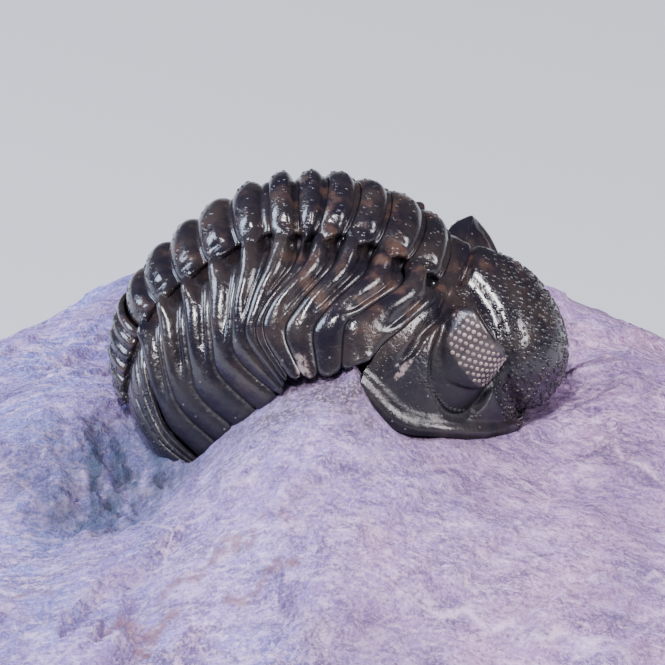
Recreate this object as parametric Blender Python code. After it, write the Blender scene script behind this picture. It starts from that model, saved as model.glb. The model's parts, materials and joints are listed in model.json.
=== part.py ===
"""A phacopid trilobite, Adrisiops weugi, arched over the limestone it was found in.

The animal lies along X with its head towards +X. Every length below is in
millimetres, in the animal's own frame: its sagittal plane is y = 0, and z = 0
is the base of the block. finish_node turns them into metres.
"""

import math

import bmesh
import bpy
import numpy as np

OBJECT_NAME = "adrisiops_weugi_trilobite"

# Block of limestone
BLOCK_LENGTH = 74.0
BLOCK_DEPTH = 70.0
BLOCK_CENTRE_Y = -4.0
BLOCK_MIDDLE = (0.57, -4.45)
AXIS_LEVEL = 28.0
BLOCK_COLUMNS = 34
BLOCK_ROWS = 32
SEAT_CLEARANCE = 0.6

# Shell
SEGMENTS = 11
SHELL_THICKNESS = 0.75
JOINT_GAP = 0.13
CORE_CLEARANCE = 0.25
PLEURA_RISE = 0.28
RING_RISES = (0.42, 0.42, 0.4, 0.42, 0.5, 0.42, 0.25, 0.22, 0.22, 0.24, 0.24)

# Head
HEAD_TILT = math.radians(33.0)
HEAD_FRONT_X = 13.69
HEAD_FRONT_Z = -6.475
HEAD_CENTRE = -8.5
HEAD_CELLS = 48
HEAD_STEPS = 23
GENAL_ANGLE = (-14.0, 11.6)
BACK_PLACES = (0, 4.3, 7.2, 9.26, 10.4, 11.3, 11.6)
BACK_EDGE = (-11.9, -12.0, -12.2, -13.3, -14.1, -14.35, -14.0)
CHEEK_HEIGHT = 7.2
CHEEK_HALF_WIDTH = 11.9
CHEEK_LENGTH = 10.5
CHEEK_BACK = 11.0

# Each joint between two tergites, from the head back to the tail shield: x and z
# at the crest of the ring, at the axial furrow, at three places down the pleura,
# and at its tip. z counts from AXIS_LEVEL.
JOINTS = (
    (8.16, 7.24, 7.03, 5.86, 6.83, 5.85, 4.73, 4.60, 3.19, 3.90, 2.07, 3.05),
    (6.55, 8.54, 5.01, 7.16, 4.73, 6.85, 2.35, 5.93, 0.88, 5.23, 0.53, 2.06),
    (4.17, 10.15, 2.84, 8.08, 2.14, 7.61, -0.04, 6.31, -1.37, 4.77, -1.02, 1.68),
    (2.00, 10.92, 0.60, 8.85, -0.04, 8.15, -2.28, 6.31, -3.33, 4.54, -2.07, 1.68),
    (-0.25, 11.46, -1.37, 8.85, -2.03, 8.28, -4.27, 6.28, -4.76, 4.36, -2.98, 1.50),
    (-2.40, 11.20, -2.21, 8.84, -2.70, 8.24, -4.75, 6.11, -5.27, 4.24, -3.40, 1.32),
    (-4.50, 11.07, -4.17, 8.96, -4.66, 8.28, -5.71, 6.04, -5.92, 3.88, -3.40, 0.55),
    (-7.10, 9.77, -6.27, 8.15, -6.62, 7.36, -7.04, 4.86, -6.76, 2.52, -3.75, -0.04),
    (-9.50, 8.24, -8.58, 6.70, -8.65, 5.68, -8.51, 3.13, -7.95, 0.90, -5.08, -1.69),
    (-11.45, 6.48, -10.40, 5.18, -10.40, 4.00, -10.05, 1.25, -9.35, -1.00, -6.76, -3.18),
    (-13.27, 4.56, -11.94, 3.71, -12.01, 2.46, -11.45, -0.44, -10.54, -2.38, -7.88, -4.68),
    (-14.50, 2.26, -13.13, 1.71, -13.06, 0.16, -12.22, -2.31, -11.31, -4.01, -8.86, -6.25),
)
RING_HALF_WIDTHS = (4.3, 4.3, 4.3, 4.3, 4.3, 4.25, 4.2, 4.1, 3.95, 3.8, 3.6, 3.4)
HALF_WIDTHS = (11.6, 11.6, 11.6, 11.6, 11.5, 11.4, 11.3, 11.0, 10.4, 9.8, 9.2, 8.6)
PLEURA_SHARES = (0.0, 0.39, 0.68, 0.84, 1.0)

# Lateral samples of every tergite: 0 at the crest, 1 at the axial furrow, 2 at the tip
LATERAL = (0.0, 0.28, 0.55, 0.8, 1.0, 1.2, 1.4, 1.6, 1.8, 2.0)

# Tail shield: its margin runs from the sagittal tip round to the last joint
TAIL_TIP = (-14.3, -5.9)
TAIL_CORNER = (-9.49, -8.0, -6.97)
TAIL_BULGE = 1.9
TAIL_RINGS = 6

# Places measured on the surface of the rock: x, y and z from AXIS_LEVEL
ROCK_PLACES = (
    (-37.0, 31.0, -19.5), (-19.0, 31.0, -12.05), (0.0, 31.0, -8.2), (20.0, 31.0, -12.15),
    (37.0, 31.0, -20.5), (-37.0, 16.0, -12.5), (-23.0, 13.0, -6.8), (-13.0, 15.0, -4.6),
    (0.0, 17.0, -2.2), (13.0, 15.0, -4.4), (23.0, 13.0, -7.6), (37.0, 14.0, -13.5),
    (-24.0, 22.0, -10.8), (24.0, 22.0, -11.2),
    (-23.0, 2.0, -6.6), (-18.0, 3.0, -5.4), (0.0, 0.0, 2.0), (17.5, 4.0, -5.0),
    (24.0, 0.0, -6.6), (-18.5, -6.0, -7.0), (-13.5, -7.5, -7.8), (-11.5, -11.5, -6.8),
    (-37.0, -2.0, -11.0), (37.0, -3.0, -10.5), (-6.0, -12.5, -1.9), (-2.0, -13.0, 0.5),
    (1.5, -13.0, 0.8), (6.0, -13.0, -2.6), (10.5, -11.0, -4.3), (16.0, -8.0, -6.0),
    (-13.5, 7.5, -7.4), (-9.5, 11.0, -6.2), (-4.0, 12.5, -1.2), (1.0, 13.0, 0.4),
    (6.0, 13.0, -2.8), (10.5, 11.0, -4.8), (15.5, 5.0, -6.6),
    (-16.0, -18.0, -9.2), (0.0, -19.0, -2.6), (16.0, -16.0, -7.2), (28.0, -16.0, -10.0),
    (-28.0, -18.0, -11.5), (0.0, -28.0, -9.0), (-18.0, -29.0, -14.0), (18.0, -28.0, -12.0),
    (-37.0, -39.0, -20.5), (-16.0, -39.0, -20.0), (2.0, -39.0, -18.5), (18.0, -39.0, -19.0),
    (37.0, -39.0, -20.0),
)

ROCK_COLOUR = (0.40, 0.37, 0.42, 1.0)
SHELL_COLOUR = (0.028, 0.020, 0.018, 1.0)


def clear_scene():
    for obj in list(bpy.data.objects):
        bpy.data.objects.remove(obj, do_unlink=True)


def material(name, colour, roughness):
    made = bpy.data.materials.new(name)
    made.use_nodes = True
    shader = made.node_tree.nodes["Principled BSDF"]
    shader.inputs["Base Color"].default_value = colour
    shader.inputs["Roughness"].default_value = roughness
    return made


def through(rows, place):
    """The smooth curve through evenly spaced rows, at each place counted in rows."""
    rows = np.asarray(rows, float)
    ends = np.vstack([2 * rows[0] - rows[1], rows, 2 * rows[-1] - rows[-2]])
    place = np.asarray(place, float)
    first = np.clip(np.floor(place).astype(int), 0, len(rows) - 2)
    f = (place - first)[..., None]
    a, b, c, d = (ends[first + k] for k in range(4))
    return 0.5 * (
        2 * b + (c - a) * f + (2 * a - 5 * b + 4 * c - d) * f**2 + (3 * b - a - 3 * c + d) * f**3
    )


def joint_rows(side):
    """The joints' x and z, with the fifth tergite given its full width on the far side."""
    rows = np.array(JOINTS)
    if side > 0:
        for k in (4, 5):
            rows[k, 2:] = rows[3, 2:] + (rows[6, 2:] - rows[3, 2:]) * (k - 3) / 3
    return rows


def shell_point(joint, across):
    """The shell's middle surface: joint counts back from the head, across is -2 to 2."""
    joint = np.asarray(joint, float)
    across = np.asarray(across, float)
    joint, across = np.broadcast_arrays(joint, across)
    side = np.where(across < 0, -1.0, 1.0)
    out = np.empty(joint.shape + (3,))
    for sign in (-1.0, 1.0):
        chosen = side == sign
        if not chosen.any():
            continue
        t = np.abs(across[chosen])
        knots = through(joint_rows(sign), joint[chosen]).reshape(-1, 6, 2)
        widths = through(np.transpose([RING_HALF_WIDTHS, HALF_WIDTHS]), joint[chosen])
        ring, half = widths[:, 0], widths[:, 1]
        turn = np.minimum(t, 1.0) * math.pi / 2
        on_ring = knots[:, 1] + (knots[:, 0] - knots[:, 1]) * np.cos(turn)[:, None]
        shares = np.array(PLEURA_SHARES)[None, :, None] * (half - ring)[:, None, None]
        path = np.concatenate([knots[:, 1:], ring[:, None, None] + shares], axis=2)
        q = np.clip((t - 1.0) * 4, 0.0, 4.0)
        on_pleura = np.empty((len(t), 3))
        for k in range(len(t)):
            on_pleura[k] = through(path[k], q[k])
        axial = t < 1.0
        x = np.where(axial, on_ring[:, 0], on_pleura[:, 0])
        z = np.where(axial, on_ring[:, 1], on_pleura[:, 1])
        y = np.where(axial, ring * np.sin(turn), on_pleura[:, 2])
        out[chosen] = np.stack([x, sign * y, z + AXIS_LEVEL], axis=-1)
    return out


def shell_normal(joint, across):
    """The outward direction of shell_point."""
    step = 0.03
    low = np.maximum(np.asarray(across) - step, -2.0)
    high = np.minimum(np.asarray(across) + step, 2.0)
    over = shell_point(joint, high) - shell_point(joint, low)
    along = shell_point(np.asarray(joint) + step, across) - shell_point(np.asarray(joint) - step, across)
    normal = np.cross(over, along)
    return normal / np.linalg.norm(normal, axis=-1, keepdims=True)


def both_sides():
    return np.array([-t for t in reversed(LATERAL[1:])] + list(LATERAL))


def slab_mesh(outer, inner):
    """A closed slab between a grid of outer points and the first and last rows inside it."""
    mesh = bmesh.new()
    rows = [[mesh.verts.new(point) for point in row] for row in outer]
    under = [[mesh.verts.new(point) for point in row] for row in inner]
    for upper, lower in zip(rows, rows[1:]):
        for k in range(len(upper) - 1):
            mesh.faces.new((upper[k], upper[k + 1], lower[k + 1], lower[k]))
    for upper, lower in zip(under, under[1:]):
        for k in range(len(upper) - 1):
            mesh.faces.new((upper[k + 1], upper[k], lower[k], lower[k + 1]))
    for top, bottom in ((rows[0], under[0]), (rows[-1], under[-1])):
        for k in range(len(top) - 1):
            mesh.faces.new((top[k], top[k + 1], bottom[k + 1], bottom[k]))
    for end in (0, -1):
        mesh.faces.new([row[end] for row in rows] + [row[end] for row in reversed(under)])
    bmesh.ops.recalc_face_normals(mesh, faces=mesh.faces)
    return mesh


def finish_node(name, mesh, look, collection):
    """The bmesh as a node, in metres, moved so that the block is centred on the origin."""
    for vert in mesh.verts:
        vert.co.x -= BLOCK_MIDDLE[0]
        vert.co.y -= BLOCK_MIDDLE[1]
        vert.co *= 0.001
    data = bpy.data.meshes.new(name)
    mesh.to_mesh(data)
    mesh.free()
    data.materials.append(look)
    node = bpy.data.objects.new(name, data)
    collection.objects.link(node)
    return node


def tergite(number):
    """Tergite 1 is the one behind the head. A ring and its pleurae, each bowed from front to back."""
    across = both_sides()
    front, back = float(number - 1), float(number)
    length = np.linalg.norm(shell_point(back, across) - shell_point(front, across), axis=-1)
    margin = np.minimum(JOINT_GAP / length, 0.3)
    outer = []
    for share in (0.0, 0.22, 0.78, 1.0):
        joint = front + margin + share * (1 - 2 * margin)
        rise = np.where(np.abs(across) < 0.95, RING_RISES[number - 1], PLEURA_RISE) * (share * (1 - share) > 0.01)
        outer.append(shell_point(joint, across) + rise[:, None] * shell_normal(joint, across))
    inner = []
    for share in (0.0, 1.0):
        joint = front + margin + share * (1 - 2 * margin)
        inner.append(shell_point(joint, across) - SHELL_THICKNESS * shell_normal(joint, across))
    return slab_mesh(outer, inner)


def tail_point(down, across):
    """The tail shield: down is 0 at the last joint and 1 at the margin."""
    last = shell_point(SEGMENTS + 0.05, across)
    t = np.abs(across)
    turn = np.radians(np.where(t < 1, 15 * t, 15 + 75 * np.clip(t - 1, 0, 1) ** 0.9))
    x = TAIL_CORNER[0] + (TAIL_TIP[0] - TAIL_CORNER[0]) * np.cos(turn)
    y = np.sign(across) * -TAIL_CORNER[1] * np.sin(turn)
    z = TAIL_TIP[1] + (TAIL_CORNER[2] - TAIL_TIP[1]) * np.sin(turn) ** 2 + AXIS_LEVEL
    margin = np.stack([x, y, z], axis=-1)
    out = np.stack([-np.cos(turn * 0.9), np.sign(across) * np.sin(turn * 0.9), 0 * turn], axis=-1)
    bulge = TAIL_BULGE * (1 - 0.62 * (t / 2))
    control = (last + margin) / 2 + bulge[:, None] * out
    return (1 - down) ** 2 * last + 2 * down * (1 - down) * control + down**2 * margin


def tail_normal(down, across):
    low, high = np.maximum(across - 0.03, -2.0), np.minimum(across + 0.03, 2.0)
    over = tail_point(down, high) - tail_point(down, low)
    along = tail_point(min(down + 0.02, 1.0), across) - tail_point(max(down - 0.02, 0.0), across)
    normal = np.cross(over, along)
    return normal / np.linalg.norm(normal, axis=-1, keepdims=True)


def tail_shield():
    across = both_sides()
    outer, inner = [], []
    for down in np.linspace(0.02, 1.0, 2 * TAIL_RINGS + 1):
        ring = 0.3 * abs(math.sin(math.pi * TAIL_RINGS * down)) * max(0.0, 1 - down)
        rise = np.where(np.abs(across) < 0.95, ring, 0.4 * ring)
        outer.append(tail_point(down, across) + rise[:, None] * tail_normal(down, across))
    for down in (0.02, 0.35, 0.7, 1.0):
        inner.append(tail_point(down, across) - 0.6 * tail_normal(down, across))
    return slab_mesh(outer, inner)


def blend(a, b, width):
    """The smaller of two distances, rounded where they meet."""
    h = np.clip(0.5 + 0.5 * (b - a) / width, 0, 1)
    return b + (a - b) * h - width * h * (1 - h)


def head_distance(f, s, n):
    """Negative inside the head: f forward from its front edge, s sideways, n up from its margin."""
    s = np.abs(s)
    radius = np.hypot(np.maximum(f + CHEEK_BACK, 0) / CHEEK_LENGTH, s / CHEEK_HALF_WIDTH)
    power = np.interp(f, (-12.0, -3.0), (4.0, 2.8))
    slope = CHEEK_HEIGHT * power * np.minimum(radius, 1.2) ** (power - 1) / 11.5
    cheek = (n - CHEEK_HEIGHT * (1 - radius**power)) / np.sqrt(1 + slope**2)
    rim = np.hypot((radius - 0.96) * 11.4, n - 0.35) - 0.55
    shape = blend(cheek, rim, 0.5)

    swell = np.clip((f + 12.0) / 8.5, 0, 1)
    width = 3.4 + 3.5 * swell**2 * (3 - 2 * swell)
    glabella = np.sqrt(((f + 7.6) / 7.9) ** 2 + (s / width) ** 2 + ((n - 3.2) / 6.0) ** 2) - 1
    shape = blend(shape, 5 * glabella, 0.35)
    lobe = np.sqrt((f + 9.9) ** 2 + (s - 3.9) ** 2 + (n - 6.5) ** 2) - 0.85
    shape = blend(shape, lobe, 0.3)

    ring = np.hypot((f + 11.2) / 0.95, (n - (7.5 - 1.9 * (s / 4.4) ** 2)) / 1.0) - 1
    shape = blend(shape, np.maximum(ring, s - 4.5), 0.4)

    wall = 2.35 * (np.hypot((f + 8.2) / 2.45, (s - 6.8 + 0.12 * (n - 6)) / 2.35) - 1)
    lid = n - (8.0 - 0.38 * np.maximum(f + 9.7, 0) - 0.9 * np.maximum(-9.7 - f, 0))
    eye = -blend(-wall, -np.maximum(lid, 3.0 - n), 0.9)
    shape = blend(shape, eye, 0.3)

    return shape


def leave_head(rays):
    """Where each ray from the middle of the head last leaves it."""
    middle = np.array([HEAD_CENTRE, 0, 0])
    reach = np.linspace(0.5, 17.0, 331)
    inside = head_distance(*np.moveaxis(rays[..., None, :] * reach[:, None] + middle, -1, 0)) < 0
    last = len(reach) - 1 - np.argmax(inside[..., ::-1], axis=-1)
    low, high = reach[last], reach[np.minimum(last + 1, len(reach) - 1)]
    for _ in range(20):
        half = (low + high) / 2
        within = head_distance(*np.moveaxis(rays * half[..., None] + middle, -1, 0)) < 0
        low, high = np.where(within, half, low), np.where(within, high, half)
    return rays * low[..., None] + middle


def unit(points):
    return points / np.linalg.norm(points, axis=-1, keepdims=True)


def back_edge(u):
    """The head's hind edge over the crest, from one genal angle at u = -1 to the other at 1."""
    s = GENAL_ANGLE[1] * np.sin(u * math.pi / 2)
    f = np.interp(np.abs(s), BACK_PLACES, BACK_EDGE)
    height = np.linspace(0.0, 10.0, 2001)
    inside = head_distance(f[:, None], s[:, None], height) < 0
    n = height[len(height) - 1 - np.argmax(inside[:, ::-1], axis=1)]
    n = np.where(inside.any(axis=1), n, 0) * np.sqrt(np.clip((1 - np.abs(u)) / 0.16, 0, 1))
    return np.stack([f, s, n], axis=-1)


def head_rows(cells, steps):
    """Rows from the front margin over the head to its hind edge, each from side to side."""
    middle = np.array([HEAD_CENTRE, 0, 0])
    u = np.linspace(-1, 1, cells + 1)
    edge = back_edge(u)
    turn = u * math.atan2(GENAL_ANGLE[1], GENAL_ANGLE[0] - HEAD_CENTRE)
    start = np.stack([np.cos(turn), np.sin(turn), 0 * turn], axis=-1)
    end = unit(edge - middle)
    angle = np.arccos(np.clip((start * end).sum(axis=-1), -1, 1))[:, None] + 1e-9
    rows = []
    for v in np.linspace(0, 1, steps + 1):
        rays = (np.sin((1 - v) * angle) * start + np.sin(v * angle) * end) / np.sin(angle)
        rows.append(leave_head(unit(rays)))
    rows[-1] = edge
    return rows


def margin_sag(f, s):
    """How far the cheeks' margin hangs below a flat one."""
    return (1.3 * np.exp(-(((f + 10.3) / 3.2) ** 2)) * (s / 11.5) ** 2) - 0.35 * np.exp(-((f / 4) ** 2))


def head_to_world(points):
    f, s, n = points[..., 0], points[..., 1], points[..., 2]
    n = n - margin_sag(f, s) * np.clip(1 - n / 7.0, 0, 1)
    x = HEAD_FRONT_X + f * math.cos(HEAD_TILT) + n * math.sin(HEAD_TILT)
    z = HEAD_FRONT_Z - f * math.sin(HEAD_TILT) + n * math.cos(HEAD_TILT) + AXIS_LEVEL
    return np.stack([x, s, z], axis=-1)


def head_shield():
    """The head as a closed solid: its surface, a thick hind edge and a low hollow floor."""
    rows = head_rows(HEAD_CELLS, HEAD_STEPS)
    edge = rows[-1]
    rim = edge + np.stack([0 * edge[:, 0], 0 * edge[:, 0], -np.minimum(1.0, 0.4 * edge[:, 2])], axis=-1)
    floor = edge * np.array([1.0, 0.9, 0.0]) + np.array([0.35, 0.0, 0.0])
    floor[:, 2] = np.minimum(0.6, 0.2 * edge[:, 2])
    loops = np.array([head_to_world(row) for row in (*rows, rim, floor)])
    mesh = bmesh.new()
    ends = [mesh.verts.new(loops[0, 0]), mesh.verts.new(loops[0, -1])]
    inner = [[mesh.verts.new(point) for point in row[1:-1]] for row in loops]
    rings = [[ends[0], *row, ends[1]] for row in inner]
    for here, there in zip(rings, rings[1:] + rings[:1]):
        for k in range(HEAD_CELLS):
            corners = dict.fromkeys((here[k], here[k + 1], there[k + 1], there[k]))
            mesh.faces.new(corners)
    bmesh.ops.recalc_face_normals(mesh, faces=mesh.faces)
    return mesh


def rock_weights():
    """Coefficients of the thin sheet bent through ROCK_PLACES."""
    places = np.array(ROCK_PLACES)
    gap = np.linalg.norm(places[:, None, :2] - places[None, :, :2], axis=-1)
    bend = np.where(gap > 0, gap**2 * np.log(np.maximum(gap, 1e-9)), 0)
    flat = np.column_stack([np.ones(len(places)), places[:, :2]])
    system = np.block([[bend, flat], [flat.T, np.zeros((3, 3))]])
    return np.linalg.solve(system, np.concatenate([places[:, 2], np.zeros(3)]))


def seat_height(x, y):
    """The highest the rock may stand under the shell, far above it where there is no shell."""
    forward = (x - HEAD_FRONT_X) / math.cos(HEAD_TILT)
    radius = np.hypot(np.maximum(forward + CHEEK_BACK, 0) / CHEEK_LENGTH, y / CHEEK_HALF_WIDTH)
    sag = (margin_sag(forward, y) + SEAT_CLEARANCE) / math.cos(HEAD_TILT)
    head = HEAD_FRONT_Z - forward * math.sin(HEAD_TILT) - sag
    head = head + 9 * np.maximum(radius - 1.2, 0) + 4 * np.maximum(-14.5 - forward, 0)

    tips = np.array(JOINTS)[::-1, 10:12]
    track_x = np.concatenate([[-18.0, TAIL_TIP[0], TAIL_CORNER[0]], tips[:, 0]])
    track_z = np.concatenate([[TAIL_TIP[1], TAIL_TIP[1], TAIL_CORNER[2]], tips[:, 1]])
    half = np.interp(x, (-15.5, -12.0, -8.9, -5.0, 2.1), (0.0, 7.0, 8.8, 10.6, 11.8))
    tail = np.interp(x, track_x, track_z) - SEAT_CLEARANCE
    tail = tail + 2.0 * np.maximum(np.abs(y) - half - 1.0, 0)
    tail = tail + 2.0 * np.maximum(-16.5 - x, 0) + 3.0 * np.maximum(x - 2.5, 0)
    return np.minimum(head, tail)


def rock_height(x, y):
    places = np.array(ROCK_PLACES)
    weights = rock_weights()
    gap = np.hypot(x[..., None] - places[:, 0], y[..., None] - places[:, 1])
    bend = np.where(gap > 0, gap**2 * np.log(np.maximum(gap, 1e-9)), 0)
    level = bend @ weights[:-3] + weights[-3] + weights[-2] * x + weights[-1] * y
    return np.minimum(level, seat_height(x, y)) + AXIS_LEVEL


def block_plan(a, b):
    """A square from -1 to 1 drawn out to the block's rounded, slightly uneven outline."""
    turn = np.arctan2(b, a)
    uneven = 1 + 0.016 * np.sin(3 * turn + 0.7) + 0.012 * np.sin(5 * turn + 2.1) + 0.008 * np.sin(9 * turn)
    uneven = 1 + (uneven - 1) * np.maximum(np.abs(a), np.abs(b)) ** 3
    gather = 0.35
    a, b = a * (1 - gather) + a**3 * gather, b * (1 - gather) + b**3 * gather
    x = a * np.sqrt(1 - 0.4 * b**2 / 2) * uneven * BLOCK_LENGTH / 2
    y = b * np.sqrt(1 - 0.4 * a**2 / 2) * uneven * BLOCK_DEPTH / 2 + BLOCK_CENTRE_Y
    return x, y


def rock_block():
    """The top of the rock over a square grid, with broken sides and a sawn base below it."""
    mesh = bmesh.new()
    bmesh.ops.create_grid(mesh, x_segments=BLOCK_COLUMNS, y_segments=BLOCK_ROWS, size=1.0)
    for vert in mesh.verts:
        x, y = block_plan(np.array(vert.co.x), np.array(vert.co.y))
        vert.co = (float(x), float(y), float(rock_height(x, y)))
    rim = [edge for edge in mesh.edges if edge.is_boundary]
    for share, spread in ((0.55, 1.02), (0.0, 0.975)):
        made = bmesh.ops.extrude_edge_only(mesh, edges=rim)["geom"]
        rim = [item for item in made if isinstance(item, bmesh.types.BMEdge) and item.is_boundary]
        for vert in {vert for edge in rim for vert in edge.verts}:
            vert.co.x *= spread
            vert.co.y = BLOCK_CENTRE_Y + (vert.co.y - BLOCK_CENTRE_Y) * spread
            vert.co.z *= share
    bmesh.ops.contextual_create(mesh, geom=rim)
    bmesh.ops.recalc_face_normals(mesh, faces=mesh.faces)
    return mesh


def belly_fill():
    """The rock inside the arch of the shell, standing up out of the block."""
    across = both_sides()
    across = np.sign(across) * np.minimum(np.abs(across), 1.94)
    depth = SHELL_THICKNESS + CORE_CLEARANCE
    sections = []
    for joint in (0.3, 1.2, 2.2, 3.2, 5.9, 7, 8, 9, 10, 10.9):
        sections.append(shell_point(joint, across) - depth * shell_normal(joint, across))
    across = np.sign(across) * np.where(np.abs(across) > 1, 0.28 + 0.72 * np.abs(across), np.abs(across))
    for down in (0.22, 0.5, 0.78):
        sections.append(tail_point(down, across) - (0.6 + CORE_CLEARANCE) * tail_normal(down, across))
    mesh = bmesh.new()
    loops = []
    for share, arch in zip(np.linspace(0, 1, len(sections)), sections):
        foot = (1.6 - 12.6 * share, AXIS_LEVEL - 1.2 - 8.6 * share)
        near = (foot[0], 0.8 * arch[0][1], foot[1])
        far = (foot[0], 0.8 * arch[-1][1], foot[1])
        loops.append([mesh.verts.new(point) for point in [near, *arch, far]])
    for front, back in zip(loops, loops[1:]):
        for k in range(len(front)):
            m = (k + 1) % len(front)
            mesh.faces.new((front[k], front[m], back[m], back[k]))
    mesh.faces.new(loops[0])
    mesh.faces.new(reversed(loops[-1]))
    bmesh.ops.recalc_face_normals(mesh, faces=mesh.faces)
    return mesh


def build():
    clear_scene()
    shown = bpy.data.collections.new(OBJECT_NAME)
    bpy.context.scene.collection.children.link(shown)
    helpers = bpy.data.collections.new("helpers")
    bpy.context.scene.collection.children.link(helpers)
    stone = material("limestone", ROCK_COLOUR, 0.85)
    shell = material("fossil_shell", SHELL_COLOUR, 0.3)

    block = finish_node("matrix", rock_block(), stone, shown)
    fill = finish_node("belly_fill", belly_fill(), stone, helpers)
    fill.hide_render = True
    fill.display_type = "WIRE"
    join = block.modifiers.new("belly", "BOOLEAN")
    join.operation = "UNION"
    join.solver = "EXACT"
    join.use_self = True
    join.object = fill

    finish_node("cephalon", head_shield(), shell, shown)
    for number in range(1, SEGMENTS + 1):
        finish_node(f"thoracic_segment_{number:02d}", tergite(number), shell, shown)
    finish_node("pygidium", tail_shield(), shell, shown)


build()
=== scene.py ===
"""Looks of the fossil trilobite and its limestone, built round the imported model."""

import json
import logging
import math
from dataclasses import dataclass, field
from enum import Enum
from typing import Any, Callable

import bmesh
import bpy
import numpy as np
from mathutils import Matrix, Vector, noise

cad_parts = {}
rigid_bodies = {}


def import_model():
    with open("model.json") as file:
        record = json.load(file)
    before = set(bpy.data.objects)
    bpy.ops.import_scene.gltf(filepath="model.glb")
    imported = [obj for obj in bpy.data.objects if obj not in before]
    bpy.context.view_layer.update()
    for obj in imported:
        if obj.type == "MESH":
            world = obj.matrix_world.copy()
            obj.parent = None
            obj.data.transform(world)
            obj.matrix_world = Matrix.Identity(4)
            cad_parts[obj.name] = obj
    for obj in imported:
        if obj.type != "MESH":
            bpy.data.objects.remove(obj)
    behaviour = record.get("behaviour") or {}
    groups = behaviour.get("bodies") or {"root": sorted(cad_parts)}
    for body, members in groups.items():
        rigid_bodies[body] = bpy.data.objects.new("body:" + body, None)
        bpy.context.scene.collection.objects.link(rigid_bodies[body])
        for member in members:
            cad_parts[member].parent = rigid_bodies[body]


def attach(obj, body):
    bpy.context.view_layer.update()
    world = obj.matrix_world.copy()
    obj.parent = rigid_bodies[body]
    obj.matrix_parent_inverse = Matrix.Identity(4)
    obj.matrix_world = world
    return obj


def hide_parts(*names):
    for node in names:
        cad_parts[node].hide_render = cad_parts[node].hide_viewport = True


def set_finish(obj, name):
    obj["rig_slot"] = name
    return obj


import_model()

LOG = logging.getLogger("trilobite")
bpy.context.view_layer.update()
BODY = "root"

# The animal's own frame, in millimetres: y = 0 is its sagittal plane, z = 0 the base
MILLIMETRE = 0.001
BLOCK_MIDDLE = (0.57, -4.45)
AXIS_LEVEL = 28.0

Array = np.ndarray

# Marks on the near side, a scratch of wear across the cheek and a painted highlight on a pleural
# tip: from, to and half width
WEAR_AND_HIGHLIGHT_LINES = (
    ((5.37, -10.24, 30.45), (4.81, -10.58, 29.79), 0.3),
    ((4.81, -10.58, 29.79), (3.91, -11.74, 28.85), 0.34),
    # A painted highlight on the fourth pleural tip
    ((-2.2, -11.2, 30.9), (-1.95, -11.5, 29.9), 0.6),
)


class Slot(Enum):
    """The record's material slots."""

    SHELL = "fossil_shell"
    ROCK = "limestone"


def smooth(value: Array, low: float, high: float) -> Array:
    """A smooth step from 0 at low to 1 at high."""
    share = np.clip((value - low) / (high - low), 0, 1)
    return share * share * (3 - 2 * share)


def hump(value: Array, middle: float, width: float) -> Array:
    """A bell of height 1 round middle."""
    return np.exp(-(((value - middle) / width) ** 2))


def unit(points: Array) -> Array:
    """Each row at length 1."""
    return points / np.maximum(np.linalg.norm(points, axis=-1, keepdims=True), 1e-12)


def blend(a: Array, b: Array, width: float) -> Array:
    """The smaller of two distances, rounded where they meet."""
    share = np.clip(0.5 + 0.5 * (b - a) / width, 0, 1)
    return b + (a - b) * share - width * share * (1 - share)


def rounded(value: Array, start: float, width: float) -> Array:
    """1 up to start, then a quarter circle down to 0 at start + width."""
    return np.sqrt(np.clip(1 - np.clip((value - start) / width, 0, 1) ** 2, 0, 1))


def wrapped(v: Array, outer_share: float) -> tuple[Array, Array]:
    """Rows that run over the outside of a shell and back underneath it.

    Args:
        v: the rows, from -1 to 1.
        outer_share: the share of them that lies outside.

    Returns:
        How far each row is from the front edge, 0 to 1, and how far along the inside.
    """
    w = (v + 1) / 2
    inside = np.clip((w - outer_share) / (1 - outer_share), 0, 1)
    return np.where(w <= outer_share, w / outer_share, 1 - inside), inside


def through(rows: Array, place: Array) -> Array:
    """The smooth curve through evenly spaced rows.

    Args:
        rows: one list of rows for all places, or one for each place.
        place: where on the curve, counted in rows.

    Returns:
        One point of the curve for each place.
    """
    rows = np.asarray(rows, float)
    if rows.ndim == 2:
        rows = np.broadcast_to(rows, (len(place), *rows.shape))
    count = rows.shape[1]
    ends = [2 * rows[:, :1] - rows[:, 1:2], rows, 2 * rows[:, -1:] - rows[:, -2:-1]]
    padded = np.concatenate(ends, axis=1)
    first = np.clip(np.floor(place).astype(int), 0, count - 2)
    f = (place - first)[:, None]
    rows_at = [(first + k)[:, None, None] for k in range(4)]
    a, b, c, d = (np.take_along_axis(padded, row, axis=1)[:, 0] for row in rows_at)
    return 0.5 * (
        2 * b + (c - a) * f + (2 * a - 5 * b + 4 * c - d) * f**2 + (3 * b - a - 3 * c + d) * f**3
    )


def noise_at(points: Array, size: float, octaves: int = 3, seed: float = 0.0) -> Array:
    """Fractal noise of about -1 to 1.

    Args:
        points: places in millimetres.
        size: the width of the largest lumps in millimetres.
        octaves: how many layers there are, each finer than the last.
        seed: shifts the pattern.

    Returns:
        One value for each point.
    """
    scaled = points / size + seed
    return np.array([noise.fractal(Vector(p), 1.0, 2.1, octaves) for p in scaled.tolist()])


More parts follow.
